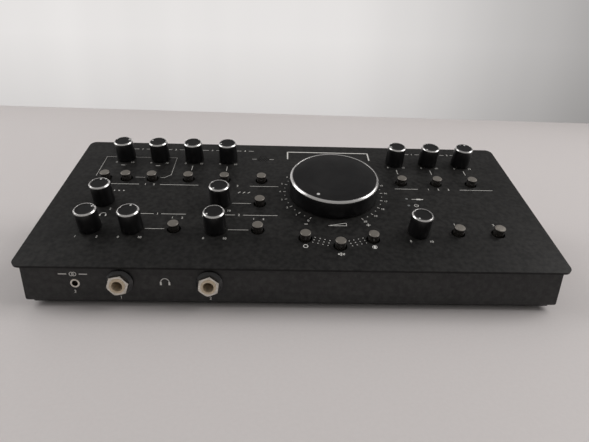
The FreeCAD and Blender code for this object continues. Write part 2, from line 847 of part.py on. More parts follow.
def make_button_switches():
    side = "plunger_side + 2 * plunger_fit"
    depth = "(plunger_reach + button_travel + plunger_stop_gap)"
    switches = []
    for x, y in BUTTONS.values():
        body = block("switch_side", "switch_side", "switch_height", z=BOARD_TOP)
        well = block(side, side, depth, z="%s + switch_height - %s" % (BOARD_TOP, depth))
        switches.append(on_plate(cut(body, well), x, y))
    return group(*switches)


def make_panel_lamps():
    lamps = []
    for x, y in LAMP_PLACES:
        base = cylinder("lamp_base_radius", "board_drop - lamp_gap", z=BOARD_TOP)
        pin = cylinder("lamp_pin_radius", "plate_gauge + lamp_gap + lamp_proud", z="-plate_gauge - lamp_gap")
        lamps.append(on_plate(join(base, pin), x, y))
    return group(*lamps)


def make_talkback_microphone():
    capsule_low = "-plate_gauge - capsule_gap - capsule_height"
    capsule = cylinder("capsule_radius", "capsule_height", z=capsule_low)
    boot_height = "board_drop - capsule_gap - capsule_height + boot_lip"
    boot = cut(
        cylinder("capsule_radius + boot_wall", boot_height, z=BOARD_TOP),
        cylinder("capsule_radius", "capsule_height", z=capsule_low),
    )
    return on_plate(group(capsule, boot), *MICROPHONE_PLACE)


# Knobs, dial and buttons: each stands on the plate with its own z axis along the plate's normal
def control_shaft(top):
    low = BOARD_TOP + " + pot_floor + shaft_end_gap"
    return cylinder("shaft_radius", "%s - (%s)" % (top, low), z=low)


def bevelled_ring(radius, bevel, wall, top, height):
    low = "%s - %s" % (top, height)
    outer = cone(radius, "%s - %s" % (radius, bevel), height, low)
    return cut(outer, cylinder("%s - %s" % (radius, wall), height, z=low))


def pointer_pip(radius, reach, turn, z):
    """A small round mark, set clockwise from straight back."""
    across = "(%s) * sin(%d * 1deg)" % (reach, turn)
    along = "(%s) * cos(%d * 1deg)" % (reach, turn)
    return cylinder(radius, "pip_height", across, along, z)


def make_knob(name):
    rim = "(knob_height - ring_height)"
    skirt = cone("knob_radius + knob_flare", "knob_radius", rim + " - knob_gap", "knob_gap")
    disc = cylinder("knob_radius - ring_wall", "ring_height - disc_drop", z=rim)
    cap = cut(
        join(skirt, disc),
        cylinder("shaft_radius", "knob_bore_depth", z="knob_gap"),
        cylinder("knob_hollow_radius", "knob_hollow_depth", z="knob_gap"),
    )
    ring = bevelled_ring("knob_radius", "ring_bevel", "ring_wall", "knob_height", "ring_height")
    reach = "knob_radius - ring_wall - pip_edge - pip_radius"
    pip = pointer_pip("pip_radius", reach, KNOBS[name][3], "knob_height - disc_drop")
    shaft = control_shaft("knob_gap + knob_bore_depth")
    return on_plate(group(cap, ring, pip, shaft), *KNOB_PLACES[name])


def make_dial_body():
    height = "(dial_height - dial_ring_height - dial_gap)"
    outside = cone("dial_radius + dial_flare", "dial_radius", height, "dial_gap")
    hollow = tube("dial_radius - dial_wall", "dial_boss_radius", height + " - dial_wall", "dial_gap")
    bore = cylinder("shaft_radius", "knob_bore_depth", z="dial_gap")
    return on_plate(cut(outside, hollow, bore), *DIAL_PLACE)


def make_dial_ring():
    section = ("dial_ring_bevel", "dial_ring_wall")
    ring = bevelled_ring("dial_radius", *section, "dial_height", "dial_ring_height")
    return on_plate(group(ring), *DIAL_PLACE)


def make_dial_top():
    disc_height = "dial_ring_height - disc_drop"
    disc = cylinder("dial_radius - dial_ring_wall", disc_height, z="dial_height - dial_ring_height")
    pip = pointer_pip("dial_pip_radius", "dial_pip_reach", DIAL_TURN, "dial_height - disc_drop")
    return on_plate(group(disc, pip), *DIAL_PLACE)


def make_dial_shaft():
    return on_plate(group(control_shaft("dial_gap + knob_bore_depth")), *DIAL_PLACE)


def make_button(name):
    shoulder = "button_height - button_edge"
    cap = cut(
        join(
            cylinder("button_radius", "%s + button_skirt" % shoulder, z="-button_skirt"),
            cone("button_radius", "button_radius - button_edge", "button_edge", shoulder),
        ),
        block("plunger_side", "plunger_side", "plunger_grip", z="-button_skirt"),
    )
    low = "(%s + switch_height - plunger_reach)" % BOARD_TOP
    plunger = block("plunger_side", "plunger_side", "plunger_grip - button_skirt - %s" % low, z=low)
    return on_plate(group(cap, plunger), *BUTTONS[name])


# Sockets: each is drawn with its own z axis out of the wall and the wall's outer face at z = 0
def phone_jack(width, height, depth, nose):
    body = block(width, height, depth, z="-wall_gauge - " + depth)
    bushing = cylinder("jack_bushing_radius", "wall_gauge + %s" % nose, z="-wall_gauge")
    bore_low = "-wall_gauge - %s + jack_end_wall" % depth
    bore = cylinder("jack_bore_radius", "%s - (%s)" % (nose, bore_low), z=bore_low)
    return cut(join(body, bushing), bore)


def make_headphone_jacks():
    nose = "(collar_height + jack_nut_height + jack_proud)"
    jacks = []
    for x, z in HEADPHONE_PLACES:
        jack = phone_jack("jack_body_width", "jack_body_height", "jack_body_depth", nose)
        jacks.append(on_front_wall(jack, x, z))
    return group(*jacks)


def make_headphone_jack_collars():
    crown_height = "collar_height - collar_lip"
    collars = []
    for x, z in HEADPHONE_PLACES:
        crown = cone("collar_radius", "collar_radius - collar_crown", crown_height, "collar_lip")
        blank = join(cylinder("collar_radius", "collar_lip"), crown)
        collars.append(on_front_wall(cut(blank, cylinder("jack_bushing_radius", "collar_height")), x, z))
    return group(*collars)


def make_headphone_jack_nuts():
    size = ("jack_nut_half_width", "jack_bushing_radius", "jack_nut_height")
    nuts = []
    for turn, (x, z) in zip(FRONT_NUT_TURNS, HEADPHONE_PLACES):
        nut = hexagon_nut(*size, "collar_height", turn)
        nuts.append(on_front_wall(nut, x, z))
    return group(*nuts)


def make_stereo_in_jack():
    """A 3.5 mm jack whose body stands on the front board."""
    below = "(front_jack_drop + jack_body_height / 2 - stereo_jack_drop)"
    height = "stereo_body_rise + " + below
    middle = "(stereo_body_rise - %s) / 2" % below
    rear = "-wall_gauge - stereo_body_depth"
    body = block("stereo_body_width", height, "stereo_body_depth", y=middle, z=rear)
    nose = cylinder("stereo_nose_radius", "wall_gauge", z="-wall_gauge")
    seat = cylinder("stereo_ferrule_radius", "stereo_ferrule_depth", z="-stereo_ferrule_depth")
    bore = cylinder("stereo_bore_radius", "stereo_bore_depth", z="-stereo_bore_depth")
    ferrule_length = "stereo_ferrule_depth + stereo_ferrule_proud"
    ferrule = tube("stereo_ferrule_radius", "stereo_bore_radius", ferrule_length, "-stereo_ferrule_depth")
    return on_front_wall(group(cut(join(body, nose), seat, bore), ferrule), *STEREO_PLACE)


def make_front_jack_board():
    left = "(%s - stereo_body_width / 2 - front_board_margin)" % INPUT_COLUMN
    right = "(%s + jack_body_width / 2 + front_board_margin)" % column_at("input", 3)
    front = "(%s + wall_gauge + front_board_gap)" % WALL_FRONT
    rear = "(%s + wall_gauge + jack_body_depth + front_board_tail)" % WALL_FRONT
    board = block(
        "%s - %s" % (right, left),
        "%s - %s" % (rear, front),
        "board_gauge",
        "(%s + %s) / 2" % (left, right),
        "(%s + %s) / 2" % (front, rear),
        FRONT_BOARD_TOP + " - board_gauge",
    )
    return in_case(group(board))


def make_line_jacks():
    nose = "(line_nut_height + line_jack_proud)"
    jacks = []
    for x, z in LINE_PLACES:
        jack = phone_jack("line_jack_width", "line_jack_width", "socket_depth", nose)
        jacks.append(on_rear_wall(jack, x, z))
    return group(*jacks)


def make_line_jack_nuts():
    nuts = []
    for turn, (x, z) in zip(LINE_NUT_TURNS, LINE_PLACES):
        nut = hexagon_nut("jack_nut_half_width", "jack_bushing_radius", "line_nut_height", "0", turn)
        nuts.append(on_rear_wall(nut, x, z))
    return group(*nuts)


def combo_jack():
    """A microphone socket round a 6.35 mm jack bore, with its flange on the wall."""
    ring_low = "combo_flange - combo_ring_depth"
    bore_low = "-wall_gauge - socket_depth + jack_end_wall"
    cutters = [
        tube("combo_ring_outer", "combo_ring_inner", "combo_ring_depth", ring_low),
        cylinder("jack_bore_radius", "combo_flange - (%s)" % bore_low, z=bore_low),
    ]
    for turn in COMBO_PIN_TURNS:
        across = "combo_pin_reach * cos(%d * 1deg)" % turn
        up = "combo_pin_reach * sin(%d * 1deg)" % turn
        cutters.append(cylinder("combo_pin_radius", "combo_ring_depth", across, up, ring_low))
    for across, up in COMBO_SCREWS:
        cutters.append(cylinder(SCREW_HOLE, "combo_flange", across, up))
    barrel = cylinder("combo_body_radius", "wall_gauge + socket_depth", z="-wall_gauge - socket_depth")
    flange = block("combo_width", "combo_height", "combo_flange")
    return cut(join(flange, barrel), *cutters)


def combo_screw(across, up):
    head = cylinder("screw_head_radius", "screw_head_height", across, up, "combo_flange")
    return join(head, cylinder("screw_radius", "screw_length", across, up, "combo_flange - screw_length"))


def make_combo_jacks():
    jacks = []
    for x, z in COMBO_PLACES:
        screws = [combo_screw(across, up) for across, up in COMBO_SCREWS]
        jacks.append(on_rear_wall(group(combo_jack(), *screws), x, z))
    return group(*jacks)


def make_computer_socket():
    shell_depth = "socket_proud + wall_gauge + socket_depth"
    shell = block("computer_width", "computer_height", shell_depth, z="-wall_gauge - socket_depth")
    mouth_low = "socket_proud - computer_mouth_depth"
    mouth = block("computer_mouth_width", "computer_mouth_height", "computer_mouth_depth", z=mouth_low)
    tongue_length = "computer_mouth_depth - computer_tongue_inset"
    tongue = block("computer_tongue_width", "computer_tongue_height", tongue_length, z=mouth_low)
    return on_rear_wall(join(cut(shell, mouth), tongue), *COMPUTER_PLACE)


def make_power_inlet():
    body = block("inlet_body_side", "inlet_body_side", "socket_depth", z="-wall_gauge - socket_depth")
    nose = cylinder("inlet_nose_radius", "wall_gauge + socket_proud", z="-wall_gauge")
    bore_low = "socket_proud - inlet_bore_depth"
    bore = cylinder("inlet_bore_radius", "inlet_bore_depth", z=bore_low)
    pin = cylinder("inlet_pin_radius", "inlet_bore_depth - inlet_pin_inset", z=bore_low)
    return on_rear_wall(join(cut(join(body, nose), bore), pin), *INLET_PLACE)


def make_rear_board():
    right = "(plate_width / 2 - rear_board_inset)"
    board = block(
        right + " - rear_board_left",
        "board_gauge",
        "rear_board_top - rear_board_bottom",
        "(rear_board_left + %s) / 2" % right,
        "(%s - board_gauge / 2)" % REAR_BOARD_FACE,
        "rear_board_bottom",
    )
    return in_case(group(board))


# Power switch: the rocker tips about a pin across its housing
def make_power_switch_housing():
    shell = block("housing_width", "housing_height", "housing_depth", z="-housing_depth")
    bezel = block("bezel_width", "bezel_height", "bezel_gauge")
    well_width = "rocker_width + 2 * rocker_side_gap"
    well_height = "rocker_height + 2 * rocker_end_gap"
    well = block(well_width, well_height, "rocker_well_depth + bezel_gauge", z="-rocker_well_depth")
    pin_length = "2 * (rocker_pin_reach + rocker_pin_gap)"
    pin_hole = rod("rocker_pin_radius + rocker_pin_gap", pin_length, "-rocker_pivot_depth")
    terminals = []
    for side in ("-", ""):
        place = side + "terminal_pitch / 2"
        low = "-housing_depth - terminal_length"
        terminals.append(block("terminal_gauge", "terminal_width", "terminal_length", y=place, z=low))
    return on_rear_wall(join(cut(join(shell, bezel), well, pin_hole), *terminals), *ROCKER_PLACE)


def make_power_rocker():
    body = new_body("rocker_body")
    profile = new_sketch(body, "YZ_Plane")
    half = "(rocker_height / 2)"
    draw_outline(
        profile,
        [
            ("-" + half, "-rocker_below_pivot"),
            (half, "-rocker_below_pivot"),
            (half, "rocker_horn"),
            ("0", "rocker_dip"),
            ("-" + half, "rocker_horn"),
        ],
    )
    body.Tip = pad(body, profile, "rocker_width", "Symmetric")
    rocker = tilted(join(body, rod("rocker_pin_radius", "2 * rocker_pin_reach")), "-rocker_tilt")
    return on_rear_wall(group(rocker), *ROCKER_PLACE, "rocker_pivot_depth")


nodes = {
    "top_plate": make_top_plate(),
    "top_plate_nuts": make_top_plate_nuts(),
    "case_walls": make_case_walls(),
    "bottom_cover": make_bottom_cover(),
    "bottom_screws": make_bottom_screws(),
    "rubber_feet": make_rubber_feet(),
    "main_board": make_main_board(),
    "main_board_screws": make_main_board_screws(),
    "potentiometers": make_potentiometers(),
    "volume_potentiometer": make_volume_potentiometer(),
    "button_switches": make_button_switches(),
    "panel_lamps": make_panel_lamps(),
    "talkback_microphone": make_talkback_microphone(),
    "dial_body": make_dial_body(),
    "dial_ring": make_dial_ring(),
    "dial_top": make_dial_top(),
    "dial_shaft": make_dial_shaft(),
    "headphone_jacks": make_headphone_jacks(),
    "headphone_jack_collars": make_headphone_jack_collars(),
    "headphone_jack_nuts": make_headphone_jack_nuts(),
    "stereo_in_jack": make_stereo_in_jack(),
    "front_jack_board": make_front_jack_board(),
    "line_jacks": make_line_jacks(),
    "line_jack_nuts": make_line_jack_nuts(),
    "combo_jacks": make_combo_jacks(),
    "computer_socket": make_computer_socket(),
    "power_inlet": make_power_inlet(),
    "rear_board": make_rear_board(),
    "power_switch_housing": make_power_switch_housing(),
    "power_rocker": make_power_rocker(),
}
for knob_name in KNOBS:
    nodes[knob_name] = make_knob(knob_name)
for button_name in BUTTONS:
    nodes[button_name] = make_button(button_name)
doc.recompute()

failed = [item.Name for item in doc.Objects if "Invalid" in item.State or "Error" in item.State]
if failed:
    raise RuntimeError("These objects did not recompute: " + ", ".join(failed))
for name, item in nodes.items():
    item.Label = name
    if item.Shape.isNull() or not item.Shape.isValid() or not item.Shape.Solids:
        raise RuntimeError(name + " has no valid solid")

os.makedirs("parts", exist_ok=True)
for name, item in nodes.items():
    item.Shape.exportStep("parts/%s.step" % name)
box = Part.makeCompound([item.Shape for item in nodes.values()]).BoundBox
solids = sum(len(item.Shape.Solids) for item in nodes.values())
print("%d nodes, %d solids" % (len(nodes), solids))
for axis in "XYZ":
    print("%s %.3f to %.3f" % (axis, getattr(box, axis + "Min"), getattr(box, axis + "Max")))
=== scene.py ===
# %% [markdown]
# # A studio monitor controller
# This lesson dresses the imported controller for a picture. Each cell makes one kind of piece or one finish and
# prints what it made, so a learner can run the cells in order and look at the model after each of them.
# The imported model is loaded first: its pieces never move, and everything new is fitted to them.

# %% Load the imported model
import json
import math

import bpy
from mathutils import Matrix, Vector


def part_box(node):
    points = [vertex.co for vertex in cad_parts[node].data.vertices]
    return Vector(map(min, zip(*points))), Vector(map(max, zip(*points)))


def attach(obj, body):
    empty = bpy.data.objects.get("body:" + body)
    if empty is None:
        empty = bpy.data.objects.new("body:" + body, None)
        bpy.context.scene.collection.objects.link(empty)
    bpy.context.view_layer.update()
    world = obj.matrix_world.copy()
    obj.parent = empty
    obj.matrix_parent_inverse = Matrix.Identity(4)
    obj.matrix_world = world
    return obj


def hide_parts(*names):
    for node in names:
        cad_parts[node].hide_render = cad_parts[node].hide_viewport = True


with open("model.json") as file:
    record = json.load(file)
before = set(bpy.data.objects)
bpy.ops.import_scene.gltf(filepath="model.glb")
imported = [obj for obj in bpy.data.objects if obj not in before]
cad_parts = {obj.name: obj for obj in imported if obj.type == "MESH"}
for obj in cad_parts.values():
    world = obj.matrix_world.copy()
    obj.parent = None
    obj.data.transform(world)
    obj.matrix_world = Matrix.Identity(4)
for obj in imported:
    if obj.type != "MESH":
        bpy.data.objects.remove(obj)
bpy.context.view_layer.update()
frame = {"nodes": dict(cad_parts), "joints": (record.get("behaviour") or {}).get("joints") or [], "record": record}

nodes = frame["nodes"]

# %% [markdown]
# ## Where things are
# All sizes are written in millimetres, as on a drawing, and turned into metres where they are used. Places are
# read from the frame. The volume dial's joint stands on the top plate and points down into it, so it tells how
# far the plate leans back and how high it is. Places on the plate are given across it and up it from its front
# edge. The front and rear walls are upright, and places on them are given across the wall and above the table.

# %% Plate, front wall and rear wall
MM = 0.001
joints = {joint["name"]: joint for joint in frame["joints"]}
mounts = {mount["name"]: mount for mount in frame["record"]["mounts"]}
dial_joint = joints["volume_dial_turn"]
PLATE_TILT = math.atan2(dial_joint["axis"][1], -dial_joint["axis"][2])
PLATE_FRONT_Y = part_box("top_plate")[0][1] / MM
dial_up_slope = dial_joint["pos_m"][1] / MM - PLATE_FRONT_Y
PLATE_FRONT_Z = dial_joint["pos_m"][2] / MM - dial_up_slope * math.tan(PLATE_TILT)
FRONT_WALL_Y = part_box("case_walls")[0][1] / MM
REAR_WALL_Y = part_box("case_walls")[1][1] / MM
LEAN = Matrix.Rotation(PLATE_TILT, 4, "X")
UPRIGHT = Matrix.Rotation(math.radians(90), 4, "X")
HALF_TURN = Matrix.Rotation(math.radians(180), 4, "Z")
FRONT_FACE = Matrix.Translation(Vector((0, FRONT_WALL_Y, 0)) * MM) @ UPRIGHT
REAR_FACE = Matrix.Translation(Vector((0, REAR_WALL_Y, 0)) * MM) @ HALF_TURN @ UPRIGHT


def plate_place(across, up, turn=0.0):
    """A place on the top plate, turned clockwise by some degrees when seen from above."""
    start = Matrix.Translation(Vector((0, PLATE_FRONT_Y, PLATE_FRONT_Z)) * MM)
    step = Matrix.Translation(Vector((across, up, 0)) * MM)
    return start @ LEAN @ step @ Matrix.Rotation(math.radians(-turn), 4, "Z")


def control_place(joint_name):
    """Where a control meets the plate, across it and up it, in millimetres."""
    spot = plate_place(0, 0).inverted() @ Vector(joints[joint_name]["pos_m"])
    return spot.x / MM, spot.y / MM


def button_place(node_name):
    """The middle of a button on the plate. A sliding joint has no place of its own, so its mesh gives it."""
    onto_plate = plate_place(0, 0).inverted()
    spots = [onto_plate @ vertex.co for vertex in nodes[node_name].data.vertices]
    across, up = [spot.x / MM for spot in spots], [spot.y / MM for spot in spots]
    return (min(across) + max(across)) / 2, (min(up) + max(up)) / 2


def mount_place(mount_name):
    """Where a socket is on its wall, across it and above the table, in millimetres."""
    across, out, up = mounts[mount_name]["pos_m"]
    return across / MM, up / MM


def pointer_turn(joint_name):
    """A control that turns 300 degrees starts its travel 150 degrees to the left of straight back."""
    return -joints[joint_name]["range_deg"][0] - 150


print("plate leans", round(math.degrees(PLATE_TILT), 2), "degrees from", round(PLATE_FRONT_Z, 2), "mm up")
print("walls at", round(FRONT_WALL_Y, 3), "and", round(REAR_WALL_Y, 3))

# %% [markdown]
# ## Camera
# The camera stands in front of the controller and a little above it, and leans slightly to one side, as a
# hand-held camera does. Its place and angles were worked out from the corners of the plate and the round
# tops of the knobs.

# %% Camera
CAMERA_PLACE = (-10.405, -302.731, 150.543)
CAMERA_YAW, CAMERA_PITCH, CAMERA_ROLL = -1.9736, -21.2929, -1.6581
CAMERA_LENS = 27.715
camera_data = bpy.data.cameras.new("camera")
camera_data.sensor_width = 36
camera_data.lens = CAMERA_LENS
camera_data.clip_start = 0.01
camera = bpy.data.objects.new("camera", camera_data)
bpy.context.collection.objects.link(camera)
aim = (
    Matrix.Rotation(math.radians(CAMERA_YAW), 4, "Z")
    @ Matrix.Rotation(math.radians(CAMERA_PITCH), 4, "X")
    @ Matrix.Rotation(math.radians(CAMERA_ROLL), 4, "Y")
)
camera.matrix_world = Matrix.Translation(Vector(CAMERA_PLACE) * MM) @ aim @ UPRIGHT
bpy.context.scene.camera = camera
bpy.context.scene.view_settings.view_transform = "Standard"
print("camera", round(camera_data.lens, 2), "mm lens")

# %% [markdown]
# ## Tools for nodes
# A finish is a tree of nodes. A few small functions keep the trees readable: one adds a node and feeds its
# inputs, and the others stand for the nodes that come up most. A shared effect is a group with named sockets.
# It gives only numbers and colours, and each finish keeps its own shader.

# %% Node tools
def node(tree, kind, inputs=None, **options):
    """Add a node. An input given a socket is linked to it, any other input is typed in."""
    made = tree.nodes.new(kind)
    for option, value in options.items():
        setattr(made, option, value)
    for socket, source in (inputs or {}).items():
        if isinstance(source, bpy.types.NodeSocket):
            tree.links.new(source, made.inputs[socket])
        else:
            made.inputs[socket].default_value = source
    return made


def blend_colour(tree, amount, first, second, mode="MIX"):
    inputs = {0: amount, 6: first, 7: second}
    return node(tree, "ShaderNodeMix", inputs, data_type="RGBA", blend_type=mode).outputs[2]


def frame_millimetres(tree):
    """The place of a point in the frame, in millimetres."""
    metres = node(tree, "ShaderNodeTexCoord").outputs["Object"]
    return node(tree, "ShaderNodeVectorMath", {0: metres, "Scale": 1000.0}, operation="SCALE").outputs[0]


def sum_of(tree, operation, first, second):
    return node(tree, "ShaderNodeMath", {0: first, 1: second}, operation=operation).outputs[0]


def spread_of(tree, value, low, high, new_low, new_high):
    inputs = {"Value": value, "From Min": low, "From Max": high, "To Min": new_low, "To Max": new_high}
    return node(tree, "ShaderNodeMapRange", inputs).outputs[0]


def start_effect(name, inputs, outputs):
    """A node group with number or colour sockets: {name: type}."""
    effect = bpy.data.node_groups.new(name, "ShaderNodeTree")
    for socket, (kind, value) in inputs.items():
        made = effect.interface.new_socket(socket, in_out="INPUT", socket_type="NodeSocket" + kind)
        if value is not None:
            made.default_value = value
    for socket, kind in outputs.items():
        effect.interface.new_socket(socket, in_out="OUTPUT", socket_type="NodeSocket" + kind)
    return effect, effect.nodes.new("NodeGroupInput").outputs, effect.nodes.new("NodeGroupOutput").inputs


def use_effect(tree, effect, **inputs):
    return node(tree, "ShaderNodeGroup", inputs, node_tree=effect).outputs


print("node tools ready")

# %% [markdown]
# ## Shared effects
# Grain is the small bumpiness of powder coat and moulded plastic. Wear lightens the outer edges, where
# hands rub. Dust settles on what faces up. Turning leaves rings round the middle of what was cut on a lathe,
# and brushing leaves straight streaks. Smudges change only the shine, as fingers do.

# %% Grain
grain, given, result = start_effect(
    "grain",
    {"Vector": ("Vector", None), "Grains": ("Float", 3.0), "Spread": ("Float", 0.2)},
    {"Tone": "Float", "Height": "Float"},
)
grain_size = {"Vector": given["Vector"], "Scale": given["Grains"]}
fine = node(grain, "ShaderNodeTexNoise", {**grain_size, "Detail": 2.0})
lumps = node(grain, "ShaderNodeTexVoronoi", grain_size)
height = sum_of(grain, "ADD", fine.outputs[0], sum_of(grain, "MULTIPLY", lumps.outputs[0], 0.35))
tone = sum_of(grain, "MULTIPLY", sum_of(grain, "SUBTRACT", fine.outputs[0], 0.5), given["Spread"])
grain.links.new(height, result["Height"])
grain.links.new(sum_of(grain, "ADD", tone, 1.0), result["Tone"])
print("grain:", len(grain.nodes), "nodes")

# %% Edge wear
wear, given, result = start_effect(
    "edge_wear",
    {"Vector": ("Vector", None), "Start": ("Float", 0.53), "Amount": ("Float", 1.0)},
    {"Mask": "Float"},
)
shape = node(wear, "ShaderNodeNewGeometry")
rubbed = node(wear, "ShaderNodeTexNoise", {"Vector": given["Vector"], "Scale": 0.35, "Detail": 4.0})
patchy = spread_of(wear, rubbed.outputs[0], 0.35, 0.65, 0.35, 1.0)
end = sum_of(wear, "ADD", given["Start"], 0.08)
sharp = node(
    wear,
    "ShaderNodeMapRange",
    {"Value": shape.outputs["Pointiness"], "From Min": given["Start"], "From Max": end},
)
mask = sum_of(wear, "MULTIPLY", sum_of(wear, "MULTIPLY", sharp.outputs[0], patchy), given["Amount"])
wear.links.new(mask, result["Mask"])
print("edge wear:", len(wear.nodes), "nodes")

# %% Dust
dust, given, result = start_effect(
    "dust",
    {"Vector": ("Vector", None), "Amount": ("Float", 0.1)},
    {"Mask": "Float"},
)
shape = node(dust, "ShaderNodeNewGeometry")
facing = node(dust, "ShaderNodeSeparateXYZ", {0: shape.outputs["Normal"]}).outputs["Z"]
upward = spread_of(dust, facing, 0.3, 0.9, 0.0, 1.0)
film = node(dust, "ShaderNodeTexNoise", {"Vector": given["Vector"], "Scale": 0.06, "Detail": 6.0})
specks = node(dust, "ShaderNodeTexVoronoi", {"Vector": given["Vector"], "Scale": 0.9, "Randomness": 1.0})
speck = spread_of(dust, specks.outputs[0], 0.035, 0.075, 1.0, 0.0)
chance = node(dust, "ShaderNodeSeparateColor", {0: specks.outputs[1]}).outputs[0]
picked = sum_of(dust, "GREATER_THAN", chance, 0.86)
haze = spread_of(dust, film.outputs[0], 0.4, 0.75, 0.0, 0.35)
settled = sum_of(dust, "ADD", haze, sum_of(dust, "MULTIPLY", speck, picked))
on_top = sum_of(dust, "MULTIPLY", settled, upward)
dust.links.new(sum_of(dust, "MULTIPLY", on_top, given["Amount"]), result["Mask"])
print("dust:", len(dust.nodes), "nodes")

# %% Turning rings
turning, given, result = start_effect(
    "turning_rings",
    {"Vector": ("Vector", None), "Pitch": ("Float", 0.25)},
    {"Tone": "Float", "Height": "Float"},
)
apart = node(turning, "ShaderNodeSeparateXYZ", {0: given["Vector"]}).outputs
flat = node(turning, "ShaderNodeCombineXYZ", {"X": apart["X"], "Y": apart["Y"]})
reach = node(turning, "ShaderNodeVectorMath", {0: flat.outputs[0]}, operation="LENGTH").outputs["Value"]
ring_number = sum_of(turning, "DIVIDE", reach, given["Pitch"])
along_axis = sum_of(turning, "MULTIPLY", apart["Z"], 2.0)
across_rings = node(turning, "ShaderNodeCombineXYZ", {"X": ring_number, "Y": along_axis})
cuts = node(turning, "ShaderNodeTexNoise", {"Vector": across_rings.outputs[0], "Scale": 1.0, "Detail": 2.0})
turning.links.new(cuts.outputs[0], result["Height"])
turning.links.new(spread_of(turning, cuts.outputs[0], 0.3, 0.7, 0.82, 1.18), result["Tone"])
print("turning rings:", len(turning.nodes), "nodes")

# %% Brushing
brushing, given, result = start_effect(
    "brushing",
    {"Vector": ("Vector", None), "Streaks": ("Float", 8.0)},
    {"Tone": "Float", "Height": "Float"},
)
STREAK_STRETCH = (0.05, 1.0, 1.0)
stretched = {0: given["Vector"], 1: STREAK_STRETCH}
drawn_out = node(brushing, "ShaderNodeVectorMath", stretched, operation="MULTIPLY")
streak_size = {"Vector": drawn_out.outputs[0], "Scale": given["Streaks"], "Detail": 3.0}
streaks = node(brushing, "ShaderNodeTexNoise", streak_size)
brushing.links.new(streaks.outputs[0], result["Height"])
brushing.links.new(spread_of(brushing, streaks.outputs[0], 0.3, 0.7, 0.85, 1.15), result["Tone"])
print("brushing:", len(brushing.nodes), "nodes")

# %% Smudges
smudges, given, result = start_effect(
    "smudges",
    {"Vector": ("Vector", None), "Roughness": ("Float", 0.4), "Spread": ("Float", 0.1)},
    {"Roughness": "Float"},
)
patch_size = {"Vector": given["Vector"], "Scale": 0.08, "Detail": 5.0, "Distortion": 0.6}
patches = node(smudges, "ShaderNodeTexNoise", patch_size)
shift = sum_of(smudges, "MULTIPLY", sum_of(smudges, "SUBTRACT", patches.outputs[0], 0.5), given["Spread"])
smudges.links.new(sum_of(smudges, "ADD", given["Roughness"], shift), result["Roughness"])
print("smudges:", len(smudges.nodes), "nodes")

# %% [markdown]
# ## One way to make a finish
# Nearly every surface here is a colour, a shine and a small bumpiness, changed a little by the shared
# effects. The texture runs in millimetres, from the frame's own coordinates or, on turned pieces, from each
# piece's own middle, which is stored on its mesh as own_mm.

# %% Finish maker
OWN = "own_mm"
WORN_METAL = (0.46, 0.45, 0.43, 1)
DUST_GREY = (0.42, 0.40, 0.38, 1)


def make_finish(
    name, colour, roughness, metallic=0.0, grains=3.0, spread=0.2, depth=0.01, worn=0.0,
    worn_colour=WORN_METAL, dusty=0.05, pattern=None, pattern_size=0.25, pattern_depth=0.004,
    smudged=0.12, coat=0.0, mirror=0.5, own=False,
):
    """A Principled shader with grain, wear, dust, smudges and, if asked for, turning rings or brushing."""
    material = bpy.data.materials.new(name)
    material.use_nodes = True
    tree = material.node_tree
    tree.nodes.clear()
    if own:
        millimetres = node(tree, "ShaderNodeAttribute", attribute_name=OWN).outputs["Vector"]
    else:
        millimetres = frame_millimetres(tree)
    grained = use_effect(tree, grain, Vector=millimetres, Grains=grains, Spread=spread)
    toned = blend_colour(tree, 1.0, (*colour, 1), grained["Tone"], "MULTIPLY")
    bump = node(tree, "ShaderNodeBump", {"Height": grained["Height"], "Distance": depth * MM})
    bump.inputs["Strength"].default_value = 1.0
    if pattern:
        size = {"Pitch": pattern_size} if pattern == turning else {"Streaks": 1 / pattern_size}
        marked = use_effect(tree, pattern, Vector=millimetres, **size)
        toned = blend_colour(tree, 1.0, toned, marked["Tone"], "MULTIPLY")
        marks = {"Height": marked["Height"], "Distance": pattern_depth * MM, "Normal": bump.outputs[0]}
        bump = node(tree, "ShaderNodeBump", marks)
    if worn:
        edges = use_effect(tree, wear, Vector=millimetres, Amount=worn)
        toned = blend_colour(tree, edges["Mask"], toned, worn_colour)
    dusted = use_effect(tree, dust, Vector=millimetres, Amount=dusty)
    toned = blend_colour(tree, dusted["Mask"], toned, DUST_GREY)
    shine = use_effect(tree, smudges, Vector=millimetres, Roughness=roughness, Spread=smudged)
    surface = {"Base Color": toned, "Roughness": shine["Roughness"], "Normal": bump.outputs[0]}
    shader = node(tree, "ShaderNodeBsdfPrincipled", surface)
    shader.inputs["Metallic"].default_value = metallic
    shader.inputs["Specular IOR Level"].default_value = mirror
    shader.inputs["Coat Weight"].default_value = coat
    shader.inputs["Coat Roughness"].default_value = 0.12
    out = node(tree, "ShaderNodeOutputMaterial", {"Surface": shader.outputs[0]})
    out.is_active_output = True
    return material


print("finish maker ready")

# %% [markdown]
# ## Finishes of the case
# The sheet metal is sprayed with a black powder that melts into a satin skin with a very fine grain. Hands
# polish it a little at its edges. The walls were sprayed apart from the plate and came out a little shinier.
# The printing on them is a slightly grey white.

# %% Powder coat and print
powder_coat = make_finish(
    "powder_coat", (0.0055, 0.0054, 0.0056), 0.42, grains=3.2, spread=0.22, depth=0.009,
    worn=0.05, dusty=0.018, smudged=0.12, mirror=0.12,
)
wall_coat = make_finish(
    "wall_coat", (0.0072, 0.0070, 0.0074), 0.44, grains=3.2, spread=0.22, depth=0.009,
    worn=0.05, dusty=0.015, smudged=0.12, mirror=0.36,
)
print_white = make_finish(
    "print_white", (0.74, 0.73, 0.70), 0.6, grains=6.0, spread=0.25, depth=0.003, dusty=0.0
)
print("case finishes:", powder_coat.name, wall_coat.name, print_white.name)
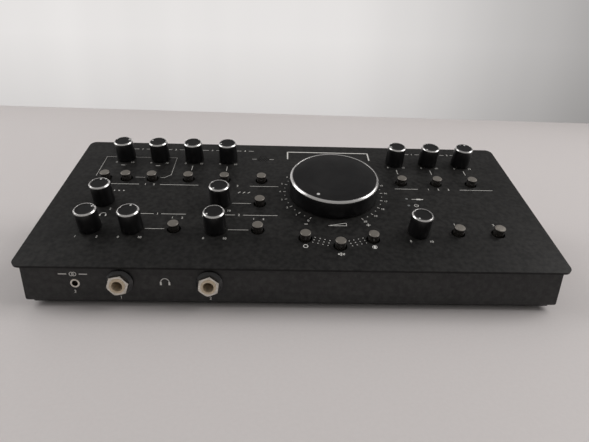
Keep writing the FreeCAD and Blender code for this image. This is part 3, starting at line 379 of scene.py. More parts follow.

# %% [markdown]
# ## Finishes of the controls
# A small knob has a satin black side, a bright bevel cut on a lathe, a dark turned disc and a bright pip.
# The push buttons have a dark glossy smoky side, and their tops are painted a pale metal colour as painted light
# for the brightness the top catches from above.

# %% Knobs and dial
cap_black = make_finish(
    "cap_black", (0.0042, 0.0041, 0.0046), 0.34, grains=4.0, depth=0.004, worn=0.03, own=True
)
bevel_bright = make_finish(
    "bevel_bright", (0.72, 0.71, 0.70), 0.24, metallic=1.0, grains=5.0, spread=0.1, depth=0.002, dusty=0.03,
    pattern=turning, pattern_size=0.12, pattern_depth=0.002, smudged=0.1, own=True,
)
disc_dark = make_finish(
    "disc_dark", (0.009, 0.0089, 0.0095), 0.47, grains=6.0, spread=0.5, depth=0.008, dusty=0.06,
    pattern=turning, pattern_size=0.3, pattern_depth=0.003, mirror=0.15, own=True,
)
pip_bright = make_finish(
    "pip_bright", (0.85, 0.85, 0.84), 0.3, metallic=0.4, grains=8.0, depth=0.001, own=True
)
shaft_steel = make_finish(
    "shaft_steel", (0.5, 0.49, 0.48), 0.35, metallic=1.0, pattern=turning, pattern_size=0.2
)
print("knob finishes:", [m.name for m in (cap_black, bevel_bright, disc_dark, pip_bright, shaft_steel)])

# %% Buttons
# Painted light: the pale metallic top colour stands for the light a smoky button top catches from above.
button_painted_lit_top = make_finish(
    "button_painted_lit_top", (0.25, 0.232, 0.208), 0.42, metallic=0.7, grains=7.0, spread=0.15, depth=0.003, dusty=0.05,
    pattern=brushing, pattern_size=0.15, pattern_depth=0.002, worn=0.2,
    worn_colour=(0.6, 0.58, 0.53, 1), own=True,
)
button_smoke = make_finish(
    "button_smoke", (0.020, 0.018, 0.016), 0.12, grains=3.0, depth=0.001, coat=0.9, dusty=0.02, own=True
)
print("button finishes:", button_painted_lit_top.name, button_smoke.name)

# %% [markdown]
# ## Finishes of the sockets and of what is inside
# The nuts are nickel plated, a little warm. Socket bodies are moulded in matt black, the feet in rubber, and
# the boards have the usual green mask. Inside, the pots are pressed metal and the screws zinc plated.

# %% Sockets, boards and fasteners
nickel = make_finish(
    "nickel", (0.50, 0.465, 0.41), 0.26, metallic=1.0, grains=4.0, spread=0.12, depth=0.004, worn=0.5,
    worn_colour=(0.95, 0.92, 0.86, 1), dusty=0.02, pattern=brushing, pattern_size=0.3, pattern_depth=0.002,
)
collar_gloss = make_finish(
    "collar_gloss", (0.012, 0.012, 0.013), 0.2, grains=2.0, depth=0.002, coat=0.4, dusty=0.02
)
socket_black = make_finish("socket_black", (0.017, 0.017, 0.018), 0.5, grains=2.5, depth=0.015, worn=0.05)
foot_rubber = make_finish("foot_rubber", (0.022, 0.022, 0.022), 0.75, grains=1.5, depth=0.03, spread=0.3)
board_green = make_finish(
    "board_green", (0.012, 0.085, 0.035), 0.38, grains=1.2, spread=0.5, depth=0.01, worn=0.1
)
pot_metal = make_finish(
    "pot_metal", (0.42, 0.41, 0.40), 0.38, metallic=1.0, pattern=brushing, pattern_size=0.4
)
switch_black = make_finish("switch_black", (0.03, 0.03, 0.032), 0.45, grains=2.5, depth=0.012)
zinc = make_finish("zinc", (0.55, 0.56, 0.58), 0.33, metallic=1.0, grains=2.0, spread=0.3, worn=0.3)
capsule_can = make_finish(
    "capsule_can", (0.5, 0.5, 0.5), 0.35, metallic=1.0, pattern=turning, pattern_size=0.5
)
lamp_clear = make_finish(
    "lamp_clear", (0.20, 0.21, 0.21), 0.12, grains=2.0, depth=0.003, coat=0.6, dusty=0.01
)
print("other finishes:", len(bpy.data.materials), "materials so far")

# %% [markdown]
# A jack has a metal bushing that comes out through the wall and a plastic body behind it. Both are one node,
# so its finish mixes two shaders: a mask says which points belong to the metal, by how far they lie from the
# jack's middle line or from the wall.

# %% Jacks with a metal bushing
BODY_PLASTIC = (0.017, 0.017, 0.018, 1)


def with_plastic_body(name, metal_finish, mask_maker):
    """A copy of a metal finish that changes to black plastic where the mask is 0."""
    material = metal_finish.copy()
    material.name = name
    tree = material.node_tree
    metal = next(n for n in tree.nodes if n.type == "BSDF_PRINCIPLED")
    out = next(n for n in tree.nodes if n.type == "OUTPUT_MATERIAL")
    millimetres = frame_millimetres(tree)
    grained = use_effect(tree, grain, Vector=millimetres, Grains=2.5, Spread=0.3)
    colour = blend_colour(tree, 1.0, BODY_PLASTIC, grained["Tone"], "MULTIPLY")
    bump = node(tree, "ShaderNodeBump", {"Height": grained["Height"], "Distance": 0.012 * MM})
    plastic = node(tree, "ShaderNodeBsdfPrincipled", {"Base Color": colour, "Normal": bump.outputs[0]})
    plastic.inputs["Roughness"].default_value = 0.45
    mask = mask_maker(tree, node(tree, "ShaderNodeSeparateXYZ", {0: millimetres}).outputs)
    mixed = node(tree, "ShaderNodeMixShader", {0: mask, 1: plastic.outputs[0], 2: metal.outputs[0]})
    tree.links.new(mixed.outputs[0], out.inputs["Surface"])
    return material


def beyond_rear_wall(tree, place):
    return sum_of(tree, "GREATER_THAN", place["Y"], REAR_WALL_Y - 3.0)


def inside_ferrule(tree, place):
    stereo_across, stereo_up = mount_place("stereo_in")
    across = sum_of(tree, "SUBTRACT", place["X"], stereo_across)
    up = sum_of(tree, "SUBTRACT", place["Z"], stereo_up)
    flat = node(tree, "ShaderNodeCombineXYZ", {"X": across, "Y": up})
    reach = node(tree, "ShaderNodeVectorMath", {0: flat.outputs[0]}, operation="LENGTH").outputs["Value"]
    return sum_of(tree, "LESS_THAN", reach, 2.75)


bushing_metal = make_finish(
    "bushing_metal", (0.60, 0.50, 0.37), 0.5, metallic=0.25, grains=4.0, depth=0.006, dusty=0.0, smudged=0.15
)
rear_bushings = with_plastic_body("rear_bushings", nickel, beyond_rear_wall)
stereo_ferrule = with_plastic_body("stereo_ferrule", nickel, inside_ferrule)
print("jack finishes:", bushing_metal.name, rear_bushings.name, stereo_ferrule.name)

# %% [markdown]
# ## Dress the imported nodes
# Each node that stays on show takes the finish of what it is made of. Nothing about its shape changes.

# %% Assign finishes
NODE_FINISHES = {
    "top_plate": powder_coat,
    "case_walls": wall_coat,
    "bottom_cover": wall_coat,
    "top_plate_nuts": zinc,
    "bottom_screws": zinc,
    "main_board_screws": zinc,
    "rubber_feet": foot_rubber,
    "main_board": board_green,
    "front_jack_board": board_green,
    "rear_board": board_green,
    "potentiometers": pot_metal,
    "volume_potentiometer": pot_metal,
    "button_switches": switch_black,
    "panel_lamps": lamp_clear,
    "talkback_microphone": capsule_can,
    "headphone_jacks": bushing_metal,
    "headphone_jack_collars": collar_gloss,
    "headphone_jack_nuts": nickel,
    "stereo_in_jack": stereo_ferrule,
    "line_jacks": rear_bushings,
    "line_jack_nuts": nickel,
    "combo_jacks": socket_black,
    "computer_socket": nickel,
    "power_inlet": socket_black,
    "power_switch_housing": socket_black,
    "power_rocker": socket_black,
    "dial_body": cap_black,
    "dial_ring": bevel_bright,
    "dial_top": disc_dark,
    "dial_shaft": shaft_steel,
}


def dress(node_object, finish):
    mesh = node_object.data
    if not mesh.materials:
        mesh.materials.append(finish)
    for slot in node_object.material_slots:
        slot.material = finish


for name, finish in NODE_FINISHES.items():
    dress(nodes[name], finish)
knob_names = [name for name in nodes if name.endswith("_knob") or "_knob_" in name]
button_names = [name for name in nodes if "_button" in name and name != "button_switches"]
for name in knob_names:
    dress(nodes[name], cap_black)
for name in button_names:
    dress(nodes[name], button_painted_lit_top)
print("dressed", len(nodes), "nodes")

# %% [markdown]
# ## Table and wall
# The controller stands on a pale table that runs back to a wall with painted light on it. Both are one bent sheet:
# a plane whose rear edge is pulled up. They are only a stage and don't belong to the model.

# %% Stage
TABLE_WIDTH, TABLE_DEPTH, WALL_HEIGHT = 3600, 2600, 1500
WALL_MIDDLE_X, WALL_MIDDLE_Y = 30, 757
STAGE_TURN = -2.6
bpy.ops.object.select_all(action="DESELECT")
bpy.ops.mesh.primitive_plane_add(size=1, location=(0, 0, 0))
stage = bpy.context.object
stage.name = "table_and_wall"
stage.scale = Vector((TABLE_WIDTH, TABLE_DEPTH, 1)) * MM
bpy.ops.object.transform_apply(location=False, rotation=False, scale=True)
bpy.ops.object.mode_set(mode="EDIT")
bpy.ops.mesh.select_mode(type="EDGE")
bpy.ops.mesh.select_all(action="DESELECT")
bpy.ops.object.mode_set(mode="OBJECT")
for edge in stage.data.edges:
    edge.select = all(stage.data.vertices[v].co.y > 0 for v in edge.vertices)
bpy.ops.object.mode_set(mode="EDIT")
bpy.ops.mesh.extrude_region_move(TRANSFORM_OT_translate={"value": (0, 0, WALL_HEIGHT * MM)})
bpy.ops.object.mode_set(mode="OBJECT")
stage.location = Vector((WALL_MIDDLE_X, WALL_MIDDLE_Y - TABLE_DEPTH / 2, 0)) * MM
bpy.ops.object.transform_apply(location=True, rotation=False, scale=False)
stage.matrix_world = (
    Matrix.Translation(Vector((WALL_MIDDLE_X, WALL_MIDDLE_Y, 0)) * MM)
    @ Matrix.Rotation(math.radians(STAGE_TURN), 4, "Z")
    @ Matrix.Translation(Vector((-WALL_MIDDLE_X, -WALL_MIDDLE_Y, 0)) * MM)
)
bpy.ops.object.transform_apply(location=True, rotation=True, scale=False)
table_top = make_finish(
    "table_top", (0.70, 0.665, 0.66), 0.5, grains=0.5, spread=0.06, depth=0.02, dusty=0.0, smudged=0.05
)
# Painted light: the wall's colour runs from a painted lit tone on the left to a painted shaded tone on the right.
WALL_PAINTED_LIT, WALL_PAINTED_SHADE = (0.79, 0.77, 0.76, 1), (0.33, 0.32, 0.315, 1)
WALL_PAINTED_LIT_UNTIL, WALL_PAINTED_SHADE_FROM = 0.12, 0.75


def make_wall_paint():
    """Pale paint with painted light: the view and mirrored views see a painted glow, brighter on the left, dimmer
    to the right, darker near the table and high up, with soft vertical bands of painted shade.
    """
    material = bpy.data.materials.new("wall_paint_and_painted_light")
    material.use_nodes = True
    tree = material.node_tree
    tree.nodes.clear()
    metres = node(tree, "ShaderNodeTexCoord").outputs["Object"]
    place = node(tree, "ShaderNodeSeparateXYZ", {0: metres}).outputs
    painted_dimming_to_right = spread_of(tree, place["X"], WALL_PAINTED_LIT_UNTIL, WALL_PAINTED_SHADE_FROM, 0.0, 1.0)
    tone = blend_colour(tree, painted_dimming_to_right, WALL_PAINTED_LIT, WALL_PAINTED_SHADE)
    flat_place = node(tree, "ShaderNodeCombineXYZ", {"X": place["X"]})
    painted_fold_shade = node(tree, "ShaderNodeTexNoise", {"Vector": flat_place.outputs[0], "Scale": 5.0})
    soft_painted_fold_shade = spread_of(tree, painted_fold_shade.outputs[0], 0.3, 0.7, 0.97, 1.03)
    # Painted shade: darker where the wall meets the table, and dimmer high up.
    painted_shade_near_table = spread_of(tree, place["Z"], 0.0, 0.16, 0.84, 1.0)
    painted_falloff_high_up = spread_of(tree, place["Z"], 0.3, 1.0, 1.0, 0.4)
    painted_light_level = sum_of(tree, "MULTIPLY", sum_of(tree, "MULTIPLY", painted_shade_near_table, painted_falloff_high_up), soft_painted_fold_shade)
    # The glow is painted light, seen only by the view and by mirrored rays.
    seen = node(tree, "ShaderNodeEmission", {"Color": tone, "Strength": painted_light_level})
    painted = node(tree, "ShaderNodeBsdfDiffuse", {"Color": tone})
    rays = node(tree, "ShaderNodeLightPath").outputs
    mirrored = sum_of(tree, "MAXIMUM", rays["Is Glossy Ray"], rays["Is Transmission Ray"])
    seen_rays = sum_of(tree, "MAXIMUM", rays["Is Camera Ray"], mirrored)
    mixed = node(tree, "ShaderNodeMixShader", {0: seen_rays, 1: painted.outputs[0], 2: seen.outputs[0]})
    node(tree, "ShaderNodeOutputMaterial", {"Surface": mixed.outputs[0]})
    return material


wall_paint_and_painted_light = make_wall_paint()
stage.data.materials.append(table_top)
stage.data.materials.append(wall_paint_and_painted_light)
for face in stage.data.polygons:
    face.material_index = 1 if abs(face.normal.z) < 0.5 else 0
print("stage:", len(stage.data.polygons), "faces")

# %% [markdown]
# ## Light
# Two broad windows high at the sides and a little behind give soft light, so the shadow falls towards the
# viewer. They stand where the leaning plate doesn't mirror them. The room gives a dull grey light all round.

# %% Sky and lamps
ROOM_FRONT = (0.46, 0.45, 0.44, 1)
ROOM_BACK = (0.34, 0.335, 0.335, 1)
world = bpy.data.worlds.new("room")
world.use_nodes = True
bpy.context.scene.world = world
sky = world.node_tree
sky.nodes.clear()
direction = node(sky, "ShaderNodeTexCoord").outputs["Generated"]
parts = node(sky, "ShaderNodeSeparateXYZ", {0: direction}).outputs
backwards = spread_of(sky, parts["Y"], -0.6, 0.7, 0.0, 1.0)
room = blend_colour(sky, backwards, ROOM_FRONT, ROOM_BACK)
background = node(sky, "ShaderNodeBackground", {"Color": room, "Strength": 0.76})
node(sky, "ShaderNodeOutputWorld", {"Surface": background.outputs[0]})


def soft_lamp(name, place, target, size, watts, colour):
    lamp = bpy.data.lights.new(name, "AREA")
    lamp.shape = "RECTANGLE"
    lamp.size, lamp.size_y = size[0] * MM, size[1] * MM
    lamp.energy = watts
    lamp.color = colour
    holder = bpy.data.objects.new(name, lamp)
    bpy.context.collection.objects.link(holder)
    holder.location = Vector(place) * MM
    holder.rotation_euler = (Vector(target) - Vector(place)).to_track_quat("-Z", "Y").to_euler()


soft_lamp("window_right", (1050, 60, 950), (100, 40, 0), (900, 900), 9.0, (1.0, 0.98, 0.965))
soft_lamp("window_left", (-1150, 160, 900), (-100, 40, 0), (800, 900), 5.6, (1.0, 0.99, 0.98))
print("lamps:", [light.name for light in bpy.data.lights])

# %% [markdown]
# ## Working by hand, in code
# A round piece starts as a filled circle. Its face is pulled up and made wider or narrower step by step, as on
# a lathe, and its sharp edges are rounded by a small bevel. Before it is put in place, every point's distance
# from the piece's own middle is stored as own_mm, so the turned marks stay round the middle.

# %% Hand tools
def alone(piece):
    bpy.ops.object.select_all(action="DESELECT")
    piece.select_set(True)
    bpy.context.view_layer.objects.active = piece


def turned_piece(name, outline, sides=64, bevel=0.06):
    """Pull a filled circle along an outline of (radius, height) steps, in millimetres."""
    bpy.ops.object.select_all(action="DESELECT")
    radius, height = outline[0]
    bpy.ops.mesh.primitive_circle_add(vertices=sides, radius=radius * MM, fill_type="NGON", location=(0, 0, 0))
    piece = bpy.context.object
    piece.name = name
    bpy.ops.object.mode_set(mode="EDIT")
    bpy.ops.mesh.select_all(action="SELECT")
    bpy.ops.transform.translate(value=(0, 0, height * MM))
    for next_radius, next_height in outline[1:]:
        rise = (0, 0, (next_height - height) * MM)
        bpy.ops.mesh.extrude_region_move(TRANSFORM_OT_translate={"value": rise})
        if next_radius != radius:
            grow = next_radius / radius
            bpy.ops.transform.resize(value=(grow, grow, 1), center_override=(0, 0, next_height * MM))
        radius, height = next_radius, next_height
    bpy.ops.mesh.select_all(action="SELECT")
    bpy.ops.mesh.normals_make_consistent(inside=False)
    bpy.ops.object.mode_set(mode="OBJECT")
    if bevel:
        round_edges(piece, bevel)
    return piece


def round_edges(piece, width):
    alone(piece)
    modifier = piece.modifiers.new("round_edges", "BEVEL")
    modifier.width = width * MM
    modifier.segments = 2
    modifier.limit_method = "ANGLE"
    modifier.angle_limit = math.radians(28)
    bpy.ops.object.modifier_apply(modifier=modifier.name)


def paint_faces(piece, finishes, rule):
    """Give every face the finish whose number the rule returns for its middle, in millimetres."""
    for finish in finishes:
        piece.data.materials.append(finish)
    for face in piece.data.polygons:
        face.material_index = rule(face.center / MM)


def join_pieces(name, pieces):
    bpy.ops.object.select_all(action="DESELECT")
    for piece in pieces:
        piece.select_set(True)
    bpy.context.view_layer.objects.active = pieces[0]
    bpy.ops.object.join()
    pieces[0].name = name
    return pieces[0]


def remember_own_place(piece):
    layer = piece.data.attributes.new(OWN, "FLOAT_VECTOR", "POINT")
    for vertex, entry in zip(piece.data.vertices, layer.data):
        entry.vector = vertex.co / MM


def smooth(piece, degrees=32):
    alone(piece)
    bpy.ops.object.shade_smooth_by_angle(angle=math.radians(degrees))


def put(piece, place, body):
    """Place a piece, fix the place in its mesh and let it ride on a body."""
    alone(piece)
    piece.matrix_world = place
    bpy.ops.object.transform_apply(location=True, rotation=True, scale=True)
    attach(piece, body)
    return piece


def copy_of(model, name):
    alone(model)
    bpy.ops.object.duplicate(linked=False)
    copy = bpy.context.object
    copy.name = name
    return copy


def reach_of(point):
    return math.hypot(point.x, point.y)


print("hand tools ready")

# %% [markdown]
# ## Small knobs
# One knob is modelled with its shaft, the hollow under its cap, the cut bevel, the sunk disc and the round pip
# that shows where it points. Then it is copied to all thirteen places, each copy turned to where its pointer
# stands. The cap gets a hair wider towards the plate, because it is moulded.

# %% One knob
SHAFT_RADIUS, SHAFT_LOW = 2.95, -11.5
HOLLOW_RADIUS, HOLLOW_TOP = 5.6, 3.1
KNOB_RADIUS, KNOB_LOW, KNOB_TOP = 6.8, 0.6, 15.0
RING_LOW, RING_BEVEL = 14.0, 0.65
DISC_RADIUS, DISC_TOP = 5.7, 14.75
shaft = [(SHAFT_RADIUS, SHAFT_LOW), (SHAFT_RADIUS, HOLLOW_TOP)]
hollow = [(HOLLOW_RADIUS, HOLLOW_TOP), (HOLLOW_RADIUS, KNOB_LOW)]
foot = [(KNOB_RADIUS + 0.15, KNOB_LOW), (KNOB_RADIUS + 0.25, KNOB_LOW + 0.12), (KNOB_RADIUS + 0.18, 4.0)]
side = [(KNOB_RADIUS + 0.06, 9.0), (KNOB_RADIUS, RING_LOW - 0.05)]
groove = [(KNOB_RADIUS - 0.08, RING_LOW), (KNOB_RADIUS - 0.08, RING_LOW + 0.06)]
groove.append((KNOB_RADIUS, RING_LOW + 0.1))
bevel = [(KNOB_RADIUS, KNOB_TOP - RING_BEVEL), (KNOB_RADIUS - RING_BEVEL, KNOB_TOP)]
ring_lip = [(DISC_RADIUS + 0.04, KNOB_TOP), (DISC_RADIUS, KNOB_TOP - 0.06)]
disc = [(DISC_RADIUS, DISC_TOP), (3.4, DISC_TOP)]
knob_outline = shaft + hollow + foot + side + groove + bevel + ring_lip + disc
knob = turned_piece("knob_model", knob_outline, sides=72, bevel=0.04)


def knob_rule(point):
    """0 for the black side, 1 for the bright ring and 2 for the dark disc."""
    if point.z > RING_LOW + 0.05 and reach_of(point) > DISC_RADIUS - 0.04:
        return 1
    return 2 if point.z > DISC_TOP - 0.15 else 0


paint_faces(knob, (cap_black, bevel_bright, disc_dark, pip_bright), knob_rule)
PIP_RADIUS, PIP_REACH = 0.65, 4.8
pip_outline = [(PIP_RADIUS, DISC_TOP - 0.05), (PIP_RADIUS, DISC_TOP + 0.09)]
pip_outline.append((PIP_RADIUS - 0.15, DISC_TOP + 0.12))
pip = turned_piece("knob_pip", pip_outline, sides=24, bevel=0.02)
alone(pip)
pip.location = Vector((0, PIP_REACH, 0)) * MM
bpy.ops.object.transform_apply(location=True)
pip.data.materials.append(pip_bright)
knob = join_pieces("knob_model", [knob, pip])
smooth(knob)
remember_own_place(knob)
print("knob model:", len(knob.data.polygons), "faces")

# %% [markdown]
# The thirteen knobs stand where the frame's joints are. A joint's range starts at the left end of the knob's
# travel, so it also tells where the pointer stands now.

# %% Thirteen knobs
for name in knob_names:
    turned = plate_place(*control_place(name + "_turn"), turn=pointer_turn(name + "_turn"))
    copy = put(copy_of(knob, name + "_cap"), turned, name + "_body")
    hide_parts(name)
bpy.data.objects.remove(knob)
print("knobs:", len(knob_names))

# %% [markdown]
# ## Volume dial
# The dial is the same idea at five times the size: a black body, a cut ring on its shoulder and a dark disc
# sunk into the ring, with one larger pip. Each is its own piece, as on the real dial.

# %% Dial
DIAL_X, DIAL_Y = control_place("volume_dial_turn")
dial_start = pointer_turn("volume_dial_turn")
DIAL_RADIUS, DIAL_LOW, SHOULDER = 31.0, 0.8, 12.5
DIAL_TOP, DIAL_BEVEL, DISH_RADIUS, DISH_TOP = 14.0, 1.0, 29.3, 13.75
dial_foot = [(DIAL_RADIUS - 0.3, DIAL_LOW), (DIAL_RADIUS + 0.2, DIAL_LOW + 0.4)]
dial_wall = [(DIAL_RADIUS + 0.12, 5.0), (DIAL_RADIUS, SHOULDER - 0.15), (DIAL_RADIUS - 0.12, SHOULDER)]
dial_outline = dial_foot + dial_wall
dial_side = turned_piece("dial_side", dial_outline, sides=180, bevel=0.12)
ring_foot = [(DIAL_RADIUS - 0.05, SHOULDER + 0.02), (DIAL_RADIUS, SHOULDER + 0.1)]
ring_bevel = [(DIAL_RADIUS, DIAL_TOP - DIAL_BEVEL), (DIAL_RADIUS - DIAL_BEVEL, DIAL_TOP)]
ring_inside = [(DISH_RADIUS + 0.1, DIAL_TOP), (DISH_RADIUS, DIAL_TOP - 0.08), (DISH_RADIUS, DISH_TOP - 0.05)]
ring_outline = ring_foot + ring_bevel + ring_inside
dial_bevel = turned_piece("dial_bevel", ring_outline, sides=180, bevel=0.05)
disc_edge = [(DISH_RADIUS - 0.05, DISH_TOP - 0.15), (DISH_RADIUS - 0.05, DISH_TOP - 0.03)]
disc_outline = disc_edge + [(DISH_RADIUS - 0.15, DISH_TOP), (20.0, DISH_TOP)]
dial_disc = turned_piece("dial_disc", disc_outline, sides=180, bevel=0)
DIAL_PIP, DIAL_PIP_REACH = 1.1, 25
dial_pip_outline = [(DIAL_PIP, DISH_TOP - 0.05), (DIAL_PIP, DISH_TOP + 0.1)]
dial_pip_outline.append((DIAL_PIP - 0.15, DISH_TOP + 0.15))
dial_pip = turned_piece("dial_pip", dial_pip_outline, sides=40, bevel=0.03)
alone(dial_pip)
dial_pip.location = Vector((0, DIAL_PIP_REACH, 0)) * MM
bpy.ops.object.transform_apply(location=True)
dial_pip.data.materials.append(pip_bright)
for piece, finish in ((dial_side, cap_black), (dial_bevel, bevel_bright), (dial_disc, disc_dark)):
    piece.data.materials.append(finish)
dial_disc = join_pieces("dial_disc", [dial_disc, dial_pip])
dial_parts = (
    (dial_side, "dial_body", "dial_black"),
    (dial_bevel, "dial_ring", "bright_ring"),
    (dial_disc, "dial_top", "dial_black"),
)
for piece, replaced, slot in dial_parts:
    smooth(piece)
    remember_own_place(piece)
    put(piece, plate_place(DIAL_X, DIAL_Y, turn=dial_start), "volume_dial")
    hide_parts(replaced)
print("dial:", [piece.name for piece, replaced, slot in dial_parts])

# %% [markdown]
# ## Push buttons
# A button is a glossy smoky barrel with a square plunger that presses the switch below. Above a thin seam its top
# is painted
# a pale metal colour: painted light for the brightness the smoky top catches from above. The top's thin chamfer
# catches the light.

# %% One button
BUTTON_RADIUS, BUTTON_LOW, SEAM, BUTTON_TOP = 3.4, -3.2, 4.7, 5.1
barrel = [(BUTTON_RADIUS - 0.1, BUTTON_LOW), (BUTTON_RADIUS, BUTTON_LOW + 0.1), (BUTTON_RADIUS, SEAM - 0.08)]
seam = [(BUTTON_RADIUS - 0.04, SEAM - 0.04), (BUTTON_RADIUS - 0.04, SEAM + 0.04)]
metal_top = [(BUTTON_RADIUS, SEAM + 0.1), (BUTTON_RADIUS - 0.3, BUTTON_TOP), (2.0, BUTTON_TOP)]
button_outline = barrel + seam + metal_top
button = turned_piece("button_model", button_outline, sides=48, bevel=0.03)
# Painted light: faces above the seam take the pale top finish, faces below it the smoky one.
paint_faces(button, (button_smoke, button_painted_lit_top), lambda point: 1 if point.z > SEAM else 0)
bpy.ops.object.select_all(action="DESELECT")
PLUNGER_WIDTH, PLUNGER_HEIGHT, PLUNGER_MIDDLE = 3.0, 3.7, -5.1
bpy.ops.mesh.primitive_cube_add(size=1, location=(0, 0, PLUNGER_MIDDLE * MM))
plunger = bpy.context.object
plunger.name = "plunger"
plunger.scale = Vector((PLUNGER_WIDTH, PLUNGER_WIDTH, PLUNGER_HEIGHT)) * MM
bpy.ops.object.transform_apply(location=True, scale=True)
round_edges(plunger, 0.15)
plunger.data.materials.append(button_smoke)
button = join_pieces("button_model", [button, plunger])
smooth(button)
remember_own_place(button)
print("button model:", len(button.data.polygons), "faces")

# %% [markdown]
# All seventeen buttons are alike, so each is a copy of the model with its own mesh.

# %% Seventeen buttons
for name in button_names:
    copy = put(copy_of(button, name + "_cap"), plate_place(*button_place(name)), name + "_body")
    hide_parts(name)
bpy.data.objects.remove(button)
print("buttons:", len(button_names))

# %% [markdown]
# ## Printing on the plate
# The marks are silk-screened: a thin raised skin of ink. Lines link the controls that belong together, small
# numbers stand by the knobs, and plain signs that everybody uses take the place of words. Each mark starts
# as a cube, a cylinder or a text that is made a mesh. All marks of one face are joined at the end, and their
# edges are rounded, as ink draws back while it dries.

# %% Print tools
INK = 0.035
HAIRLINE, LINE, STROKE = 0.26, 0.36, 0.5
marks = []


def bar(start, end, width=0.45):
    """A straight printed line between two places on the sheet."""
    (x1, y1), (x2, y2) = start, end
    length = math.hypot(x2 - x1, y2 - y1)
    bpy.ops.mesh.primitive_cube_add(size=1, location=(0, 0, 0))
    mark = bpy.context.object
    mark.scale = Vector((length, width, INK)) * MM
    mark.rotation_euler.z = math.atan2(y2 - y1, x2 - x1)
    mark.location = Vector(((x1 + x2) / 2, (y1 + y2) / 2, INK / 2)) * MM
    marks.append(mark)


def dot(x, y, radius=0.35):
    bpy.ops.mesh.primitive_cylinder_add(vertices=12, radius=radius * MM, depth=INK * MM)
    mark = bpy.context.object
    mark.location = Vector((x, y, INK / 2)) * MM
    marks.append(mark)


def bars_through(points, width):
    for first, second in zip(points, points[1:]):
        bar(first, second, width)


def arc(x, y, radius, start, end, width=0.3, steps=10):
    """A printed arc of short lines, in degrees from the right, anticlockwise."""
    turns = [math.radians(start + (end - start) * step / steps) for step in range(steps + 1)]
    bars_through([(x + radius * math.cos(turn), y + radius * math.sin(turn)) for turn in turns], width)


def numeral(text, x, y, size=2.6):
    bpy.ops.object.text_add(location=(0, 0, 0))
    writing = bpy.context.object
    writing.data.body = text
    writing.data.size = size * MM
    writing.data.align_x = "CENTER"
    writing.data.align_y = "CENTER"
    writing.data.extrude = INK / 2 * MM
    writing.data.offset = 0.02 * MM
    writing.data.resolution_u = 3
    bpy.ops.object.convert(target="MESH")
    mark = bpy.context.object
    mark.location = Vector((x, y, INK / 2)) * MM
    marks.append(mark)


def finish_print(name, place):
    """Join the marks made so far, put them on a face of the case and start a new sheet."""
    for mark in marks:
        alone(mark)
        bpy.ops.object.transform_apply(location=True, rotation=True, scale=True)
    sheet = join_pieces(name, marks)
    sheet.data.materials.clear()
    sheet.data.materials.append(print_white)
    for face in sheet.data.polygons:
        face.material_index = 0
    round_edges(sheet, INK / 4)
    put(sheet, place, "case")
    print(name, "has", len(marks), "marks and", len(sheet.data.polygons), "faces")
    marks.clear()


print("print tools ready")

# %% [markdown]
# ### Round the dial
# Twenty-one numbers run round the dial, with a short tick in front of each and a dot halfway to the next.

# %% Dial scale
def round_dial(turn, reach):
    """A place round the dial, in degrees clockwise from straight back."""
    angle = math.radians(turn)
    return DIAL_X + reach * math.sin(angle), DIAL_Y + reach * math.cos(angle)


SCALE_STEPS, STEP_TURN = 20, 15
TICK_START, DOT_REACH, TICK_END, NUMBER_REACH = 33.9, 34.8, 35.7, 37.9
for number in range(SCALE_STEPS + 1):
    turn = dial_start + STEP_TURN * number
    bar(round_dial(turn, TICK_START), round_dial(turn, TICK_END), STROKE)
    numeral(str(number), *round_dial(turn, NUMBER_REACH), size=2.5)
    if number < SCALE_STEPS:
        dot(*round_dial(turn + STEP_TURN / 2, DOT_REACH), radius=0.34)
print("dial scale:", len(marks), "marks")

# %% [markdown]
# Below the dial stand a minus, a rising wedge for loudness and a plus. Two fans of dots lead to the buttons in
# front of it, and a bracket behind it frames the dial.

# %% Signs and bracket
def plus(x, y, reach=1.4):
    bar((x - reach, y), (x + reach, y), STROKE)
    bar((x, y - reach), (x, y + reach), STROKE)


SIGN_ROW = DIAL_Y - 36.4
bar((DIAL_X - 21.7, SIGN_ROW), (DIAL_X - 19.3, SIGN_ROW), STROKE)
plus(DIAL_X + 20.5, SIGN_ROW)
wedge = [(DIAL_X - 6, SIGN_ROW - 1.2), (DIAL_X + 6, SIGN_ROW - 1.2), (DIAL_X + 6, SIGN_ROW + 1.6)]
bars_through(wedge + wedge[:1], 0.4)
FAN_ROWS, FAN_DOTS, FAN_GAP = 3, 4, 3.05
FAN_REACH, FAN_BELOW = 15.2, 49.6
for row in range(FAN_ROWS):
    for step in range(FAN_DOTS):
        reach = FAN_REACH + 0.8 * row - FAN_GAP * step
        up = DIAL_Y - FAN_BELOW - 2.3 * row - 0.95 * step
        for side in (-1, 1):
            dot(DIAL_X + side * reach, up, radius=0.34)
BRACKET_HALF, BRACKET_FOOT, BRACKET_TOP = 32.4, DIAL_Y + 44.7, DIAL_Y + 55.6
left_foot, left_top = (DIAL_X - BRACKET_HALF, BRACKET_FOOT), (DIAL_X - BRACKET_HALF, BRACKET_TOP)
right_foot, right_top = (DIAL_X + BRACKET_HALF, BRACKET_FOOT), (DIAL_X + BRACKET_HALF, BRACKET_TOP)
bars_through([left_foot, left_top, right_top, right_foot], 1.0)
finish_print("dial_scale_print", plate_place(0, 0))

# %% [markdown]
# ### Beside the knobs and buttons
# Each level knob runs from 0 to 10, and each mixing knob from 1 to 2. Every place below is counted from the
# middle of a knob or a button, so the printing follows the controls.

